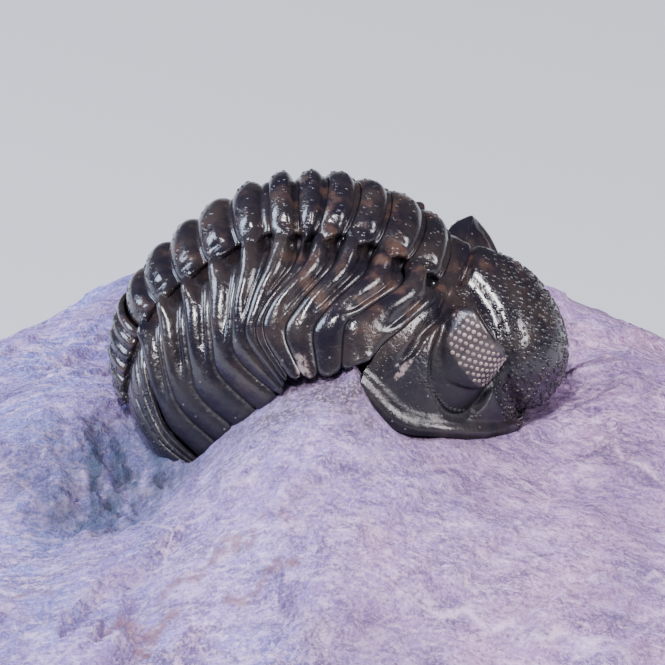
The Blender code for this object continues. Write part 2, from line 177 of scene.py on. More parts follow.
def placed_grid(
    columns: int, rows: int, place: Callable[[Array, Array], Array],
    shade: Callable[[Array, Array], Array] | None = None,
) -> bmesh.types.BMesh:
    """A grid whose points a function places, closed where its rows and columns meet again.

    Args:
        columns: segments from side to side.
        rows: segments from front to back.
        place: takes two arrays from -1 to 1 and returns the points in millimetres.
        shade: takes the same and returns how deep in a furrow each point lies, for the furrow
            attribute that carries painted shade.

    Returns:
        The grid, in millimetres.
    """
    mesh = bmesh.new()
    bmesh.ops.create_grid(mesh, x_segments=columns, y_segments=rows, size=1.0)
    flat = np.array([vert.co[:2] for vert in mesh.verts])
    for vert, point in zip(mesh.verts, place(flat[:, 0], flat[:, 1]).tolist()):
        vert.co = point
    if shade:
        # The furrow attribute carries painted shade in the grooves and pits
        layer = mesh.verts.layers.float.new("furrow")
        for vert, value in zip(mesh.verts, shade(flat[:, 0], flat[:, 1]).tolist()):
            vert[layer] = value
    return mesh


def closed(mesh: bmesh.types.BMesh) -> bmesh.types.BMesh:
    """The mesh with meeting points merged and its faces turned outwards.

    Args:
        mesh: the shape to close.

    Returns:
        The same mesh.
    """
    bmesh.ops.remove_doubles(mesh, verts=mesh.verts, dist=2e-4)
    bmesh.ops.dissolve_degenerate(mesh, edges=mesh.edges, dist=1e-5)
    bmesh.ops.recalc_face_normals(mesh, faces=mesh.faces)
    return mesh


def ordered(mesh: bmesh.types.BMesh) -> bmesh.types.BMesh:
    """The mesh with its points and faces in an order that follows from their places alone.

    Args:
        mesh: the shape to put in order.

    Returns:
        The same mesh.
    """
    places = (
        (mesh.verts, lambda vert: vert.co[:]),
        (mesh.faces, lambda face: face.calc_center_median()[:]),
    )
    for elements, place in places:
        ranks = {element: rank for rank, element in enumerate(sorted(elements, key=place))}
        elements.sort(key=ranks.get)
    return mesh


def piece(
    name: str, mesh: bmesh.types.BMesh, look: bpy.types.Material, slot: Slot,
    nodes: tuple[str, ...] = (),
) -> bpy.types.Object:
    """A finished piece in the frame, in metres, riding on the one body.

    Args:
        name: the piece's name.
        mesh: its shape in the animal's frame, in millimetres. It is freed.
        look: its material.
        slot: the record's slot that the finish belongs to.
        nodes: the CAD nodes that it stands for.

    Returns:
        The object.
    """
    shift = Matrix.Translation((-BLOCK_MIDDLE[0], -BLOCK_MIDDLE[1], 0))
    bmesh.ops.transform(mesh, matrix=Matrix.Scale(MILLIMETRE, 4) @ shift, verts=mesh.verts)
    data = bpy.data.meshes.new(name)
    mesh.to_mesh(data)
    mesh.free()
    data.shade_smooth()
    data.materials.append(look)
    made = bpy.data.objects.new(name, data)
    bpy.context.scene.collection.objects.link(made)
    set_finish(made, slot.value)
    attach(made, BODY)
    if nodes:
        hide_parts(*nodes)
    LOG.info("%s: %d faces", name, len(data.polygons))
    return made


def mark(made: bpy.types.Object, name: str, rule: Callable[[Array], Array]) -> None:
    """Writes a number on every point of a piece, from its place in the animal's frame.

    Args:
        made: the piece.
        name: the attribute that carries the number.
        rule: takes points in millimetres and returns one number for each.
    """
    flat = np.empty(len(made.data.vertices) * 3, np.float32)
    made.data.vertices.foreach_get("co", flat)
    points = flat.reshape(-1, 3) / MILLIMETRE + np.array([*BLOCK_MIDDLE, 0.0])
    layer = made.data.attributes.new(name, "FLOAT", "POINT")
    layer.data.foreach_set("value", rule(points).astype(np.float32))


def lumps(
    mesh: bmesh.types.BMesh, centres: Array, normals: Array, radii: Array, flatness: float = 0.62
) -> None:
    """Adds one low round lump for each centre, half sunk in the surface that carries it.

    Args:
        mesh: what they are added to.
        centres: their places in millimetres.
        normals: the way that each faces.
        radii: their radii.
        flatness: their height as a share of their radius.
    """
    for centre, normal, radius in zip(centres.tolist(), normals.tolist(), radii.tolist()):
        turn = Vector((0, 0, 1)).rotation_difference(Vector(normal)).to_matrix().to_4x4()
        place = Matrix.Translation(centre) @ turn @ Matrix.Diagonal((1, 1, flatness, 1))
        bmesh.ops.create_icosphere(mesh, subdivisions=2, radius=radius, matrix=place)


@dataclass(frozen=True)
class ShellSurface:
    """The middle surface of the arched thorax, in millimetres.

    joint counts back from the head: 0 is the head's hind edge and 11 the front of the
    tail shield. across is 0 at the crest, 1 at the axial furrow and 2 at the tips.
    """

    joints: tuple[tuple[float, ...], ...] = (
        (8.16, 7.24, 7.03, 5.86, 6.83, 5.85, 4.73, 4.60, 3.19, 3.90, 2.07, 3.05),
        (6.55, 8.54, 5.01, 7.16, 4.73, 6.85, 2.35, 5.93, 0.88, 5.23, 0.53, 2.06),
        (4.17, 10.15, 2.84, 8.08, 2.14, 7.61, -0.04, 6.31, -1.37, 4.77, -1.02, 1.68),
        (2.00, 10.92, 0.60, 8.85, -0.04, 8.15, -2.28, 6.31, -3.33, 4.54, -2.07, 1.68),
        (-0.25, 11.46, -1.37, 8.85, -2.03, 8.28, -4.27, 6.28, -4.76, 4.36, -2.98, 1.50),
        (-2.40, 11.20, -2.21, 8.84, -2.70, 8.24, -4.75, 6.11, -5.27, 4.24, -3.40, 1.32),
        (-4.50, 11.07, -4.17, 8.96, -4.66, 8.28, -5.71, 6.04, -5.92, 3.88, -3.40, 0.55),
        (-7.10, 9.77, -6.27, 8.15, -6.62, 7.36, -7.04, 4.86, -6.76, 2.52, -3.75, -0.04),
        (-9.50, 8.24, -8.58, 6.70, -8.65, 5.68, -8.51, 3.13, -7.95, 0.90, -5.08, -1.69),
        (-11.45, 6.48, -10.40, 5.18, -10.40, 4.00, -10.05, 1.25, -9.35, -1.00, -6.76, -3.18),
        (-13.27, 4.56, -11.94, 3.71, -12.01, 2.46, -11.45, -0.44, -10.54, -2.38, -7.88, -4.68),
        (-14.50, 2.26, -13.13, 1.71, -13.06, 0.16, -12.22, -2.31, -11.31, -4.01, -8.86, -6.25),
    )
    ring_half_widths: tuple[float, ...] = (
        4.3, 4.3, 4.3, 4.3, 4.3, 4.25, 4.2, 4.1, 3.95, 3.8, 3.6, 3.4,
    )
    half_widths: tuple[float, ...] = (
        11.6, 11.6, 11.6, 11.6, 11.5, 11.4, 11.3, 11.0, 10.4, 9.8, 9.2, 8.6,
    )
    pleura_shares: tuple[float, ...] = (0.0, 0.39, 0.68, 0.84, 1.0)

    def rows(self, side: float) -> Array:
        """The joints' x and z, with the fifth tergite given its full width on the far side.

        Args:
            side: -1 for the near side and 1 for the far side.

        Returns:
            A row of x and z pairs for each joint, from crest to tip.
        """
        rows = np.array(self.joints)
        if side > 0:
            for k in (4, 5):
                rows[k, 2:] = rows[3, 2:] + (rows[6, 2:] - rows[3, 2:]) * (k - 3) / 3
        return rows

    def point(self, joint: Array, across: Array) -> Array:
        """The surface's point for each joint and across.

        Args:
            joint: places along the animal, counted in segments.
            across: places from -2 to 2.

        Returns:
            The points in millimetres.
        """
        out = np.empty((len(joint), 3))
        for sign in (-1.0, 1.0):
            chosen = np.where(across < 0, -1.0, 1.0) == sign
            if not chosen.any():
                continue
            t = np.abs(across[chosen])
            knots = through(self.rows(sign), joint[chosen]).reshape(-1, 6, 2)
            widths = through(np.transpose([self.ring_half_widths, self.half_widths]), joint[chosen])
            ring, half = widths[:, :1], widths[:, 1:]
            turn = np.minimum(t, 1.0)[:, None] * math.pi / 2
            on_ring = knots[:, 1] + (knots[:, 0] - knots[:, 1]) * np.cos(turn)
            axial = np.hstack([on_ring[:, :1], ring * np.sin(turn), on_ring[:, 1:]])
            side = ring + np.array(self.pleura_shares) * (half - ring)
            path = np.concatenate([knots[:, 1:], side[:, :, None]], axis=2)
            pleural = through(path, np.clip((t - 1.0) * 4, 0.0, 4.0))[:, [0, 2, 1]]
            here = np.where(t[:, None] < 1.0, axial, pleural)
            out[chosen] = here * np.array([1.0, sign, 1.0]) + np.array([0, 0, AXIS_LEVEL])
        return out

    def normal(self, joint: Array, across: Array) -> Array:
        """The outward direction of point.

        Args:
            joint: places along the animal, counted in segments.
            across: places from -2 to 2.

        Returns:
            Directions of length 1.
        """
        step = 0.03
        low, high = np.maximum(across - step, -2.0), np.minimum(across + step, 2.0)
        over = self.point(joint, high) - self.point(joint, low)
        along = self.point(joint + step, across) - self.point(joint - step, across)
        return unit(np.cross(over, along))


@dataclass
class Tergite:
    """One thoracic segment: an axial ring with a half ring in front of it, and two pleurae."""

    number: int
    surface: ShellSurface
    thickness: float = 0.6
    columns: int = 250
    rows: int = 40
    outer_share: float = 0.84
    ring_columns: float = 0.36
    tuck: float = 0.04
    first_tuck: float = 0.16
    notches: tuple[float, ...] = (0.24, 0.24, 0.26, 0.3, 0.34, 0.36, 0.36, 0.36, 0.36, 0.36, 0.36)
    full_length: float = 2.1
    rises: tuple[float, ...] = (0.28, 0.3, 0.3, 0.34, 0.42, 0.42, 0.32, 0.32, 0.32, 0.32, 0.32)
    half_rings: tuple[float, ...] = (0.1, 0.1, 0.12, 0.14, 0.16, 0.16, 0.3, 0.16, 0.12, 0.12, 0.12)

    def ring_height(self, q: Array, t: Array) -> Array:
        """The ring's relief over the middle surface: a low half ring, then the round ring.

        Args:
            q: 0 at the front edge and 1 at the hind edge.
            t: 0 at the crest and 1 at the axial furrow.

        Returns:
            Heights in millimetres.
        """
        notch = self.notches[self.number - 1]
        rise = self.rises[self.number - 1] + notch
        half = self.half_rings[self.number - 1]
        share = np.clip((q - half) / (1 - half), 0, 1)
        front = np.sin(math.pi / 2 * np.clip(share / 0.42, 0, 1)) ** 0.75
        hind = np.cos(math.pi / 2 * np.clip((share - 0.42) / 0.62, 0, 1)) ** 0.55
        body = np.where(share < 0.42, front, hind) * (1 - 0.3 * smooth(t, 0.84, 1.02))
        smooth_band = 0.16 * np.sin(math.pi * np.clip(q / half, 0, 1)) ** 0.6
        lobe = hump(t, 0.88, 0.09) * hump(q, half + 0.34, 0.22)
        dip = hump(t, 0.7, 0.08) * hump(q, 0.55, 0.3)
        return -notch + rise * body + smooth_band + 0.38 * lobe - 0.16 * dip

    def pleura_height(self, q: Array, t: Array, length: Array) -> Array:
        """The pleura's relief: a narrow front band, a furrow and a broad hind band.

        Args:
            q: 0 at the front edge and 1 at the hind edge.
            t: 1 at the axial furrow and 2 at the tip.
            length: how long the segment is there, from front to back.

        Returns:
            Heights in millimetres.
        """
        near = (1 - smooth(t, 1.4, 1.66)) * smooth(length, 1.0, 1.6)
        front = np.sin(math.pi * np.clip(q / 0.34, 0, 1)) ** 0.8
        hind = np.sin(math.pi * np.clip((q - 0.3) / 0.74, 0, 1)) ** 0.7
        banded = -0.34 + 0.3 * front + 0.68 * hind
        plain = -0.5 + 0.66 * np.sin(math.pi * np.clip(0.02 + 0.95 * q, 0, 1)) ** 0.45
        knob = 0.3 * hump(t, 1.13, 0.06) * hump(q, 0.62, 0.2)
        scale = np.clip(length / self.full_length, 0.3, 1)
        return (banded * near + plain * (1 - near) + knob) * scale

    def height(self, q: Array, across: Array, length: Array) -> Array:
        """The relief at q, 0 at the front edge and 1 at the hind edge.

        Args:
            q: places from front to back.
            across: places from -2 to 2.
            length: how long the segment is there.

        Returns:
            Heights over the middle surface, in millimetres.
        """
        t = np.abs(across)
        axial = 1 - smooth(t, 0.89, 1.13)
        pit = (0.5 if self.number < 6 else 0.7) * hump(t, 1.0, 0.08) * hump(q, 0.12, 0.2)
        bridge = 0.55 * hump(t, 1.01, 0.14) * smooth(q, 0.3, 0.6) * (1 - smooth(q, 0.82, 1.0))
        pleura = self.pleura_height(q, t, length)
        return self.ring_height(q, t) * axial + pleura * (1 - axial) - pit + bridge

    def across(self, u: Array) -> Array:
        """Columns from -1 to 1 as places from tip to tip.

        Args:
            u: columns from -1 to 1.

        Returns:
            Places from -2 to 2, closer together on the ring.
        """
        side = np.abs(u)
        outside = 1 + (side - self.ring_columns) / (1 - self.ring_columns)
        return np.sign(u) * np.where(side < self.ring_columns, side / self.ring_columns, outside)

    def on(self, q: Array, across: Array, depth: Array | float = 0.0) -> Array:
        """Points of the tergite at q and across, sunk by depth.

        Args:
            q: places from front to back, 0 to 1.
            across: places from -2 to 2.
            depth: how far below the outside, in millimetres.

        Returns:
            The points in millimetres.
        """
        t = np.abs(across)
        taper = rounded(t, 1.95, 0.05)
        tuck = self.first_tuck if self.number == 1 else self.tuck
        joint = self.number - 1 - tuck + (0.5 + (q - 0.5) * taper) * (1 + tuck)
        front = self.surface.point(np.full(len(across), self.number - 1.0), across)
        back = self.surface.point(np.full(len(across), float(self.number)), across)
        length = np.linalg.norm(back - front, axis=-1)
        rise = ((self.height(q, across, length) - depth) * taper)[:, None]
        return self.surface.point(joint, across) + rise * self.surface.normal(joint, across)

    def place(self, u: Array, v: Array) -> Array:
        """The outside from front to back, then the inside from back to front.

        Args:
            u: columns from -1 to 1.
            v: rows from -1 to 1.

        Returns:
            The points in millimetres.
        """
        q, inside = wrapped(v, self.outer_share)
        depth = self.thickness * np.sin(math.pi * inside) ** 0.35
        return self.on(q, self.across(u), depth)

    def shade(self, u: Array, v: Array) -> Array:
        """Painted shade: 1 in the grooves between segments and in the pits of the axial furrow.

        Args:
            u: columns from -1 to 1.
            v: rows from -1 to 1.

        Returns:
            How deep in a groove each point lies, 0 to 1.
        """
        q = np.clip((v + 1) / 2 / self.outer_share, 0, 1)
        t = np.abs(self.across(u))
        below = smooth(t, 0.9, 1.15)
        edges = (1 - smooth(q, 0.02, 0.13)) + smooth(q, 0.93, 0.99)
        pit = hump(t, 1.0, 0.1) * (1 - smooth(q, 0.12, 0.34))
        return np.clip(edges * (0.35 + 0.65 * below) + pit, 0, 1)

    def tubercles(self, rng: np.random.RandomState) -> tuple[Array, Array, Array]:
        """Places, directions and radii of the ring's small tubercles.

        Args:
            rng: where the scatter comes from.

        Returns:
            Their places, outward directions and radii.
        """
        count = 34 if self.number <= 6 else 22
        across = rng.uniform(-0.92, 0.92, count)
        q = rng.uniform(0.45, 0.9, count)
        joint = self.number - 1 + q
        radii = rng.uniform(0.09, 0.17, count)
        return self.on(q, across, 0.02), self.surface.normal(joint, across), radii

    def build(self, look: bpy.types.Material) -> bpy.types.Object:
        """The tergite as one closed piece with its tubercles.

        Args:
            look: its material.

        Returns:
            The object.
        """
        mesh = closed(placed_grid(self.columns, self.rows, self.place, self.shade))
        lumps(mesh, *self.tubercles(np.random.RandomState(40 + self.number)))
        name = f"thoracic_segment_{self.number:02d}"
        return piece(f"{name}_shell", mesh, look, Slot.SHELL, (name,))


@dataclass
class Head:
    """The head shield.

    f counts forward from its front edge, s sideways and n up from its margin.
    """

    tilt: float = math.radians(33.0)
    front: tuple[float, float] = (13.69, -6.475)
    centre: float = -8.5
    genal_angle: tuple[float, float] = (-14.0, 11.6)
    back_places: tuple[float, ...] = (0, 4.3, 7.2, 9.26, 10.4, 11.3, 11.6)
    back_edge: tuple[float, ...] = (-11.9, -12.0, -12.2, -13.3, -14.1, -14.35, -14.0)
    cheek: tuple[float, float, float, float] = (7.2, 11.9, 10.5, 11.0)
    eye: tuple[float, float, float, float] = (-8.2, 6.8, 2.45, 2.35)
    columns: int = 330
    rows: int = 220
    lens_pitch: float = 0.45
    lens_radius: float = 0.17
    lens_turns: tuple[float, ...] = (-58, -48, -34, 0, 27, 66, 80)
    lens_floor: tuple[float, ...] = (6.4, 5.3, 4.95, 4.3, 3.75, 3.25, 3.6)
    bead_row: tuple[tuple[float, float, float], ...] = (
        (-10.03, 10.08, 2.83), (-8.93, 9.84, 2.14), (-8.06, 9.74, 1.68),
        (-7.36, 9.55, 1.34), (-6.19, 8.83, 1.22), (-5.11, 8.32, 1.36),
    )

    def cheek_radius(self, f: Array, s: Array) -> Array:
        """1 at the cheeks' margin, 0 under the hind middle of the head."""
        _, half_width, length, back = self.cheek
        return np.hypot(np.maximum(f + back, 0) / length, s / half_width)

    def glabella(self, f: Array, s: Array, n: Array) -> Array:
        """Roughly the distance to the swollen glabella.

        Args:
            f: forward places.
            s: sideways places.
            n: heights.

        Returns:
            Distances in millimetres, negative inside.
        """
        swell = np.clip((f + 12.0) / 8.5, 0, 1)
        width = 3.4 + 3.5 * swell**2 * (3 - 2 * swell)
        return 5 * (np.sqrt(((f + 7.6) / 7.9) ** 2 + (s / width) ** 2 + ((n - 3.2) / 6.0) ** 2) - 1)

    def barrel(self, n: Array) -> Array:
        """How far the eye's wall bulges at the height n."""
        return 0.14 * (1 - ((n - 5.6) / 2.2) ** 2)

    def eye_wall(self, f: Array, s: Array, n: Array) -> Array:
        """The distance to the upright wall that carries the lenses.

        Args:
            f: forward places.
            s: sideways places.
            n: heights.

        Returns:
            Distances in millimetres, negative inside.
        """
        middle, out, length, depth = self.eye
        reach = np.hypot((f - middle) / length, (s - out + 0.12 * (n - 6)) / depth)
        return depth * (reach - 1) - self.barrel(n)

    def lid_top(self, f: Array) -> Array:
        """The height of the eye's upper edge."""
        fall = 0.42 * np.maximum(f + 9.7, 0) + 0.06 * np.maximum(f + 8.0, 0) ** 2
        return 7.85 - fall - 0.9 * np.maximum(-9.7 - f, 0)

    def lid(self, f: Array, s: Array, n: Array) -> Array:
        """The height over the palpebral lobe, which falls inwards."""
        return n - self.lid_top(f) + 0.5 * np.maximum(7.5 - s, 0)

    def hind(self, s: Array) -> Array:
        """The f of the hind edge."""
        return np.interp(np.abs(s), self.back_places, self.back_edge)

    def sag(self, f: Array, s: Array) -> Array:
        """How far the cheeks' margin hangs below the head's plane."""
        return 1.3 * hump(f, -10.3, 3.2) * (s / 11.5) ** 2 - 0.35 * hump(f, 0.0, 4.0)

    def distance(self, f: Array, s: Array, n: Array) -> Array:
        """Negative inside the head.

        Args:
            f: forward places.
            s: sideways places.
            n: heights.

        Returns:
            Roughly the distance to the head's surface, in millimetres.
        """
        # The cheeks, with the furrows along the border, below the eye and along the hind edge
        s = np.abs(s)
        radius = self.cheek_radius(f, s)
        power = np.interp(f, (-12.0, -3.0), (4.0, 2.8))
        top = self.cheek[0]
        slope = top * power * np.minimum(radius, 1.2) ** (power - 1) / 11.5
        cheek = (n - top * (1 - radius**power)) / np.sqrt(1 + slope**2)
        wall = self.eye_wall(f, s, n)
        behind = f - self.hind(s)
        cheek = cheek + 0.14 * hump(radius, 0.93, 0.02)
        trough = hump(wall, 0.42, 0.42) * smooth(s, 6.0, 8.0) * smooth(f, -11.2, -10.0)
        cheek = cheek + 1.3 * trough * (1 - smooth(f, -6.0, -4.6))
        place = 1.05 + 0.6 * smooth(s, 8.4, 10.2)
        sideways = smooth(s, 4.4, 5.6) * (1 - smooth(s, 9.6, 10.8))
        cheek = cheek + 0.45 * hump(behind, place, 0.36) * sideways
        rim = np.hypot((radius - 0.965) * 11.4, n - 0.35) - 0.42
        shape = blend(cheek, rim, 0.3)

        # The glabella, its hind groove, the side lobe and the occipital ring
        glabella = self.glabella(f, s, n)
        groove = 0.3 * hump(cheek, 0.0, 0.6) * hump(glabella, 0.0, 0.5)
        shape = blend(shape, glabella, 0.3) + groove
        shape = shape + 0.4 * hump(f, -10.2, 0.24) * smooth(n, 5.0, 6.0) * (1 - smooth(s, 3.6, 4.6))
        node = np.sqrt((f + 9.9) ** 2 + (s - 3.9) ** 2 + (n - 6.5) ** 2) - 0.85
        shape = blend(shape, node, 0.2)
        ring = np.hypot((f + 11.2) / 0.95, (n - (7.5 - 1.9 * (s / 4.4) ** 2)) / 1.0) - 1
        shape = blend(shape, np.maximum(ring, s - 4.5), 0.3)

        # The eye, a wall under a lid
        lid = self.lid(f, s, n) + 0.16 * hump(wall, -1.1, 0.3) - 0.06 * hump(wall, -0.45, 0.35)
        eye = -blend(-wall, -np.maximum(lid, 3.0 - n), 0.35)
        return blend(shape, eye, 0.22)

    def leave(self, rays: Array) -> Array:
        """Where each ray from the middle of the head last leaves it.

        Args:
            rays: directions in the head's frame.

        Returns:
            One point of the surface for each ray.
        """
        middle = np.array([self.centre, 0, 0])
        found = []
        for chunk in np.array_split(rays, max(1, len(rays) // 8000)):
            reach = np.linspace(0.5, 15.5, 126)
            at = chunk[:, None, :] * reach[:, None] + middle
            inside = self.distance(at[..., 0], at[..., 1], at[..., 2]) < 0
            last = len(reach) - 1 - np.argmax(inside[:, ::-1], axis=1)
            low, high = reach[last], reach[np.minimum(last + 1, len(reach) - 1)]
            for _ in range(16):
                half = (low + high) / 2
                at = chunk * half[:, None] + middle
                within = self.distance(at[:, 0], at[:, 1], at[:, 2]) < 0
                low, high = np.where(within, half, low), np.where(within, high, half)
            found.append(chunk * low[:, None] + middle)
        return np.concatenate(found)

    def hind_edge(self, u: Array) -> Array:
        """The hind edge over the crest, from one genal angle at u = -1 to the other at 1.

        Args:
            u: columns from -1 to 1.

        Returns:
            Points of the head's frame.
        """
        s = self.genal_angle[1] * np.sin(u * math.pi / 2)
        f = self.hind(s)
        height = np.linspace(0.0, 10.0, 1001)
        inside = self.distance(f[:, None], s[:, None], height) < 0
        n = height[len(height) - 1 - np.argmax(inside[:, ::-1], axis=1)]
        n = np.where(inside.any(axis=1), n, 0) * np.sqrt(np.clip((1 - np.abs(u)) / 0.16, 0, 1))
        return np.stack([f, s, n], axis=-1)

    def to_world(self, points: Array) -> Array:
        """Points of the head's frame in the animal's frame.

        Args:
            points: places given as f, s and n.

        Returns:
            The points in millimetres.
        """
        f, s, n = points[..., 0], points[..., 1], points[..., 2]
        n = n - self.sag(f, s) * np.clip(1 - n / 7.0, 0, 1)
        x = self.front[0] + f * math.cos(self.tilt) + n * math.sin(self.tilt)
        z = self.front[1] - f * math.sin(self.tilt) + n * math.cos(self.tilt) + AXIS_LEVEL
        return np.stack([x, s, z], axis=-1)

    def from_world(self, points: Array) -> tuple[Array, Array, Array]:
        """The f, s and n of points in the animal's frame, with s on either side positive.

        Args:
            points: places in the animal's frame, in millimetres.

        Returns:
            Three arrays.
        """
        x, z = points[:, 0] - self.front[0], points[:, 2] - self.front[1] - AXIS_LEVEL
        f = x * math.cos(self.tilt) - z * math.sin(self.tilt)
        return f, np.abs(points[:, 1]), x * math.sin(self.tilt) + z * math.cos(self.tilt)

    def on_eye(self, points: Array) -> Array:
        """1 on the wall that carries the lenses, 0 elsewhere.

        Args:
            points: places in the animal's frame, in millimetres.

        Returns:
            One number for each.
        """
        f, s, n = self.from_world(points)
        middle, out, length, depth = self.eye
        turn = np.degrees(np.arctan2((f - middle) / length, (s - out) / depth))
        lowest = np.interp(turn, self.lens_turns, self.lens_floor) - 0.25
        highest = self.lid_top(f)
        tall = smooth(n, lowest - 0.1, lowest + 0.1) * (1 - smooth(n, highest - 0.2, highest))
        near = np.abs(self.eye_wall(f, s, n)) < 0.3
        return tall * near * (turn > -62) * (turn < 84) * (f > -11.5)

    def on_rim(self, points: Array) -> Array:
        """1 along the cheeks' rounded rim, 0 elsewhere."""
        f, s, _ = self.from_world(points)
        return 0.5 * hump(self.cheek_radius(f, s), 0.985, 0.025) * (f > -14.5)

    def furrow_shade(self, points: Array) -> Array:
        """Painted shade: 1 in the trough below each eye, 0 elsewhere.

        Args:
            points: places in the animal's frame, in millimetres.

        Returns:
            One number for each.
        """
        f, s, n = self.from_world(points)
        along = smooth(f, -11.0, -10.0) * (1 - smooth(f, -5.6, -4.4))
        return hump(self.eye_wall(f, s, n), 0.5, 0.5) * smooth(s, 7.0, 8.4) * along

    def place(self, u: Array, v: Array) -> Array:
        """Rows from the front margin over the head to its hind edge, then back underneath.

        Args:
            u: columns from -1 to 1.
            v: rows from -1 to 1.

        Returns:
            The points in millimetres.
        """
        columns, inverse = np.unique(np.round(u, 6), return_inverse=True)
        edge = self.hind_edge(columns)
        middle = np.array([self.centre, 0, 0])
        turn = columns * math.atan2(self.genal_angle[1], self.genal_angle[0] - self.centre)
        start = np.stack([np.cos(turn), np.sin(turn), 0 * turn], axis=-1)
        end = unit(edge - middle)
        angle = np.arccos(np.clip((start * end).sum(axis=-1), -1, 1)) + 1e-9
        rim = edge - np.array([0, 0, 1.0]) * np.minimum(1.0, 0.4 * edge[:, 2:])
        floor = edge * np.array([1.0, 0.9, 0.0]) + np.array([0.35, 0.0, 0.0])
        floor[:, 2] = np.minimum(0.6, 0.2 * edge[:, 2])

        levels, row = np.unique(np.round(v, 6), return_inverse=True)
        last = len(levels) - 4
        share = np.minimum(row / last, 1.0)[:, None]
        wide = angle[inverse][:, None]
        rays = np.sin((1 - share) * wide) * start[inverse] + np.sin(share * wide) * end[inverse]
        points = self.leave(unit(rays))
        first = self.leave(start)
        for offset, loop in enumerate((edge, rim, floor, first)):
            chosen = row == last + offset
            points[chosen] = loop[inverse[chosen]]
        return self.to_world(points)

    def normal(self, points: Array) -> Array:
        """The outward direction at points of the head's frame, turned into the animal's.

        Args:
            points: places given as f, s and n.

        Returns:
            Directions of length 1.
        """
        step = 0.02
        shifts = np.eye(3) * step
        slope = [self.distance(*(points + d).T) - self.distance(*(points - d).T) for d in shifts]
        outwards = 0.1 * unit(np.stack(slope, axis=-1))
        return unit(self.to_world(points + outwards) - self.to_world(points))

    def tubercles(self, rng: np.random.RandomState) -> tuple[Array, Array, Array]:
        """Dense tubercles over the swollen front of the glabella, sparser behind.

        Args:
            rng: where the scatter comes from.

        Returns:
            Their places, outward directions and radii.
        """
        count = 4300
        k = np.arange(count) + 0.5
        polar = np.arccos(1 - 2 * k / count)
        turn = math.pi * (1 + 5**0.5) * k
        wide = np.sin(polar)
        rays = np.stack([wide * np.cos(turn), wide * np.sin(turn), np.cos(polar)], axis=-1)
        rays = unit(rays + rng.normal(0, 0.016, rays.shape))
        points = self.leave(rays[rays[:, 2] > -0.02])
        side = np.abs(points[:, 1])
        off_eye = (self.eye_wall(points[:, 0], side, points[:, 2]) > 0.2) | (side < 5.3)
        near = (np.abs(self.glabella(*points.T)) < 0.6) & off_eye
        kept = near & (points[:, 2] > 0.25) & (points[:, 0] > -10.0)
        kept &= rng.uniform(size=len(points)) < np.interp(points[:, 0], (-9.8, -7.8), (0.2, 1.0))
        points = points[kept]
        size = np.interp(points[:, 0], (-9.5, -6.5), (0.12, 0.18))
        return points, self.normal(points), size * rng.uniform(0.75, 1.3, len(points))

    def lenses(self, side: float) -> tuple[Array, Array]:
        """The lens centres on one eye, in upright files, each half a lens off its neighbour.

        Args:
            side: -1 for the right eye and 1 for the left.

        Returns:
            Their places in the head's frame and their outward directions.
        """
        middle, out, length, depth = self.eye
        points = []
        for k in range(-7, 11):
            turn = k * self.lens_pitch * 0.866 / depth
            lowest = float(np.interp(math.degrees(turn), self.lens_turns, self.lens_floor))
            top = float(self.lid_top(middle + length * math.sin(turn))) - 0.38
            for step in range(10):
                n = top - self.lens_pitch * (step + 0.5 * (k % 2))
                if n < lowest:
                    break
                barrel = self.barrel(n)
                s = out - 0.12 * (n - 6) + (depth + barrel) * math.cos(turn)
                points.append((middle + (length + barrel) * math.sin(turn), side * s, n))
        points = np.array(points)
        return points, self.normal(points)

    def beads(self, rng: np.random.RandomState) -> tuple[Array, Array, Array]:
        """The bead row under each eye, and the granules of the hind border and the side lobes.

        Args:
            rng: where the scatter comes from.

        Returns:
            Their places, outward directions and radii.
        """
        row = through(np.array(self.bead_row), np.linspace(0, len(self.bead_row) - 1, 17))
        s = rng.uniform(8.3, 10.6, 44)
        behind = self.hind(s) + rng.uniform(0.2, 0.95, 44)
        border = np.stack([behind, s, 5.8 - 1.9 * (s - 8.3)], axis=-1)
        lobe = rng.normal(0, 0.45, (13, 3)) + (-9.95, 4.3, 7.3)
        back, up = rng.uniform(-12.6, -7.0, 30), rng.uniform(0.9, 2.4, 30)
        genal = np.stack([back, np.full(30, 10.6), up], axis=-1)
        points = np.concatenate([row, border, lobe, genal])
        sizes = ((17, 0.17), (44, 0.09), (13, 0.14), (30, 0.08))
        radii = np.concatenate([np.full(count, size) for count, size in sizes])
        radii = radii * rng.uniform(0.8, 1.2, len(radii))
        points = np.concatenate([points, points * (1, -1, 1)])
        middle = np.array([self.centre, 0, 0])
        points = self.leave(unit(points - middle))
        return points, self.normal(points), np.concatenate([radii, radii])

    def build(self, look: bpy.types.Material, lens: bpy.types.Material) -> None:
        """The head shield, its tubercles and its two eyes.

        Args:
            look: the shell's material.
            lens: the lenses' material.
        """
        mesh = closed(placed_grid(self.columns, self.rows, self.place))
        piece("cephalon_shell", mesh, look, Slot.SHELL, ("cephalon",))
        mesh = bmesh.new()
        points, normals, radii = self.tubercles(np.random.RandomState(7))
        lumps(mesh, self.to_world(points) - 0.02 * normals, normals, radii)
        points, normals, radii = self.beads(np.random.RandomState(8))
        lumps(mesh, self.to_world(points) - 0.02 * normals, normals, radii)
        piece("head_tubercles", mesh, look, Slot.SHELL)
        for side, word in ((-1.0, "right"), (1.0, "left")):
            mesh = bmesh.new()
            points, normals = self.lenses(side)
            radii = np.full(len(points), self.lens_radius)
            lumps(mesh, self.to_world(points) - 0.03 * normals, normals, radii, 0.75)
            piece(f"{word}_eye_lenses", mesh, lens, Slot.SHELL)


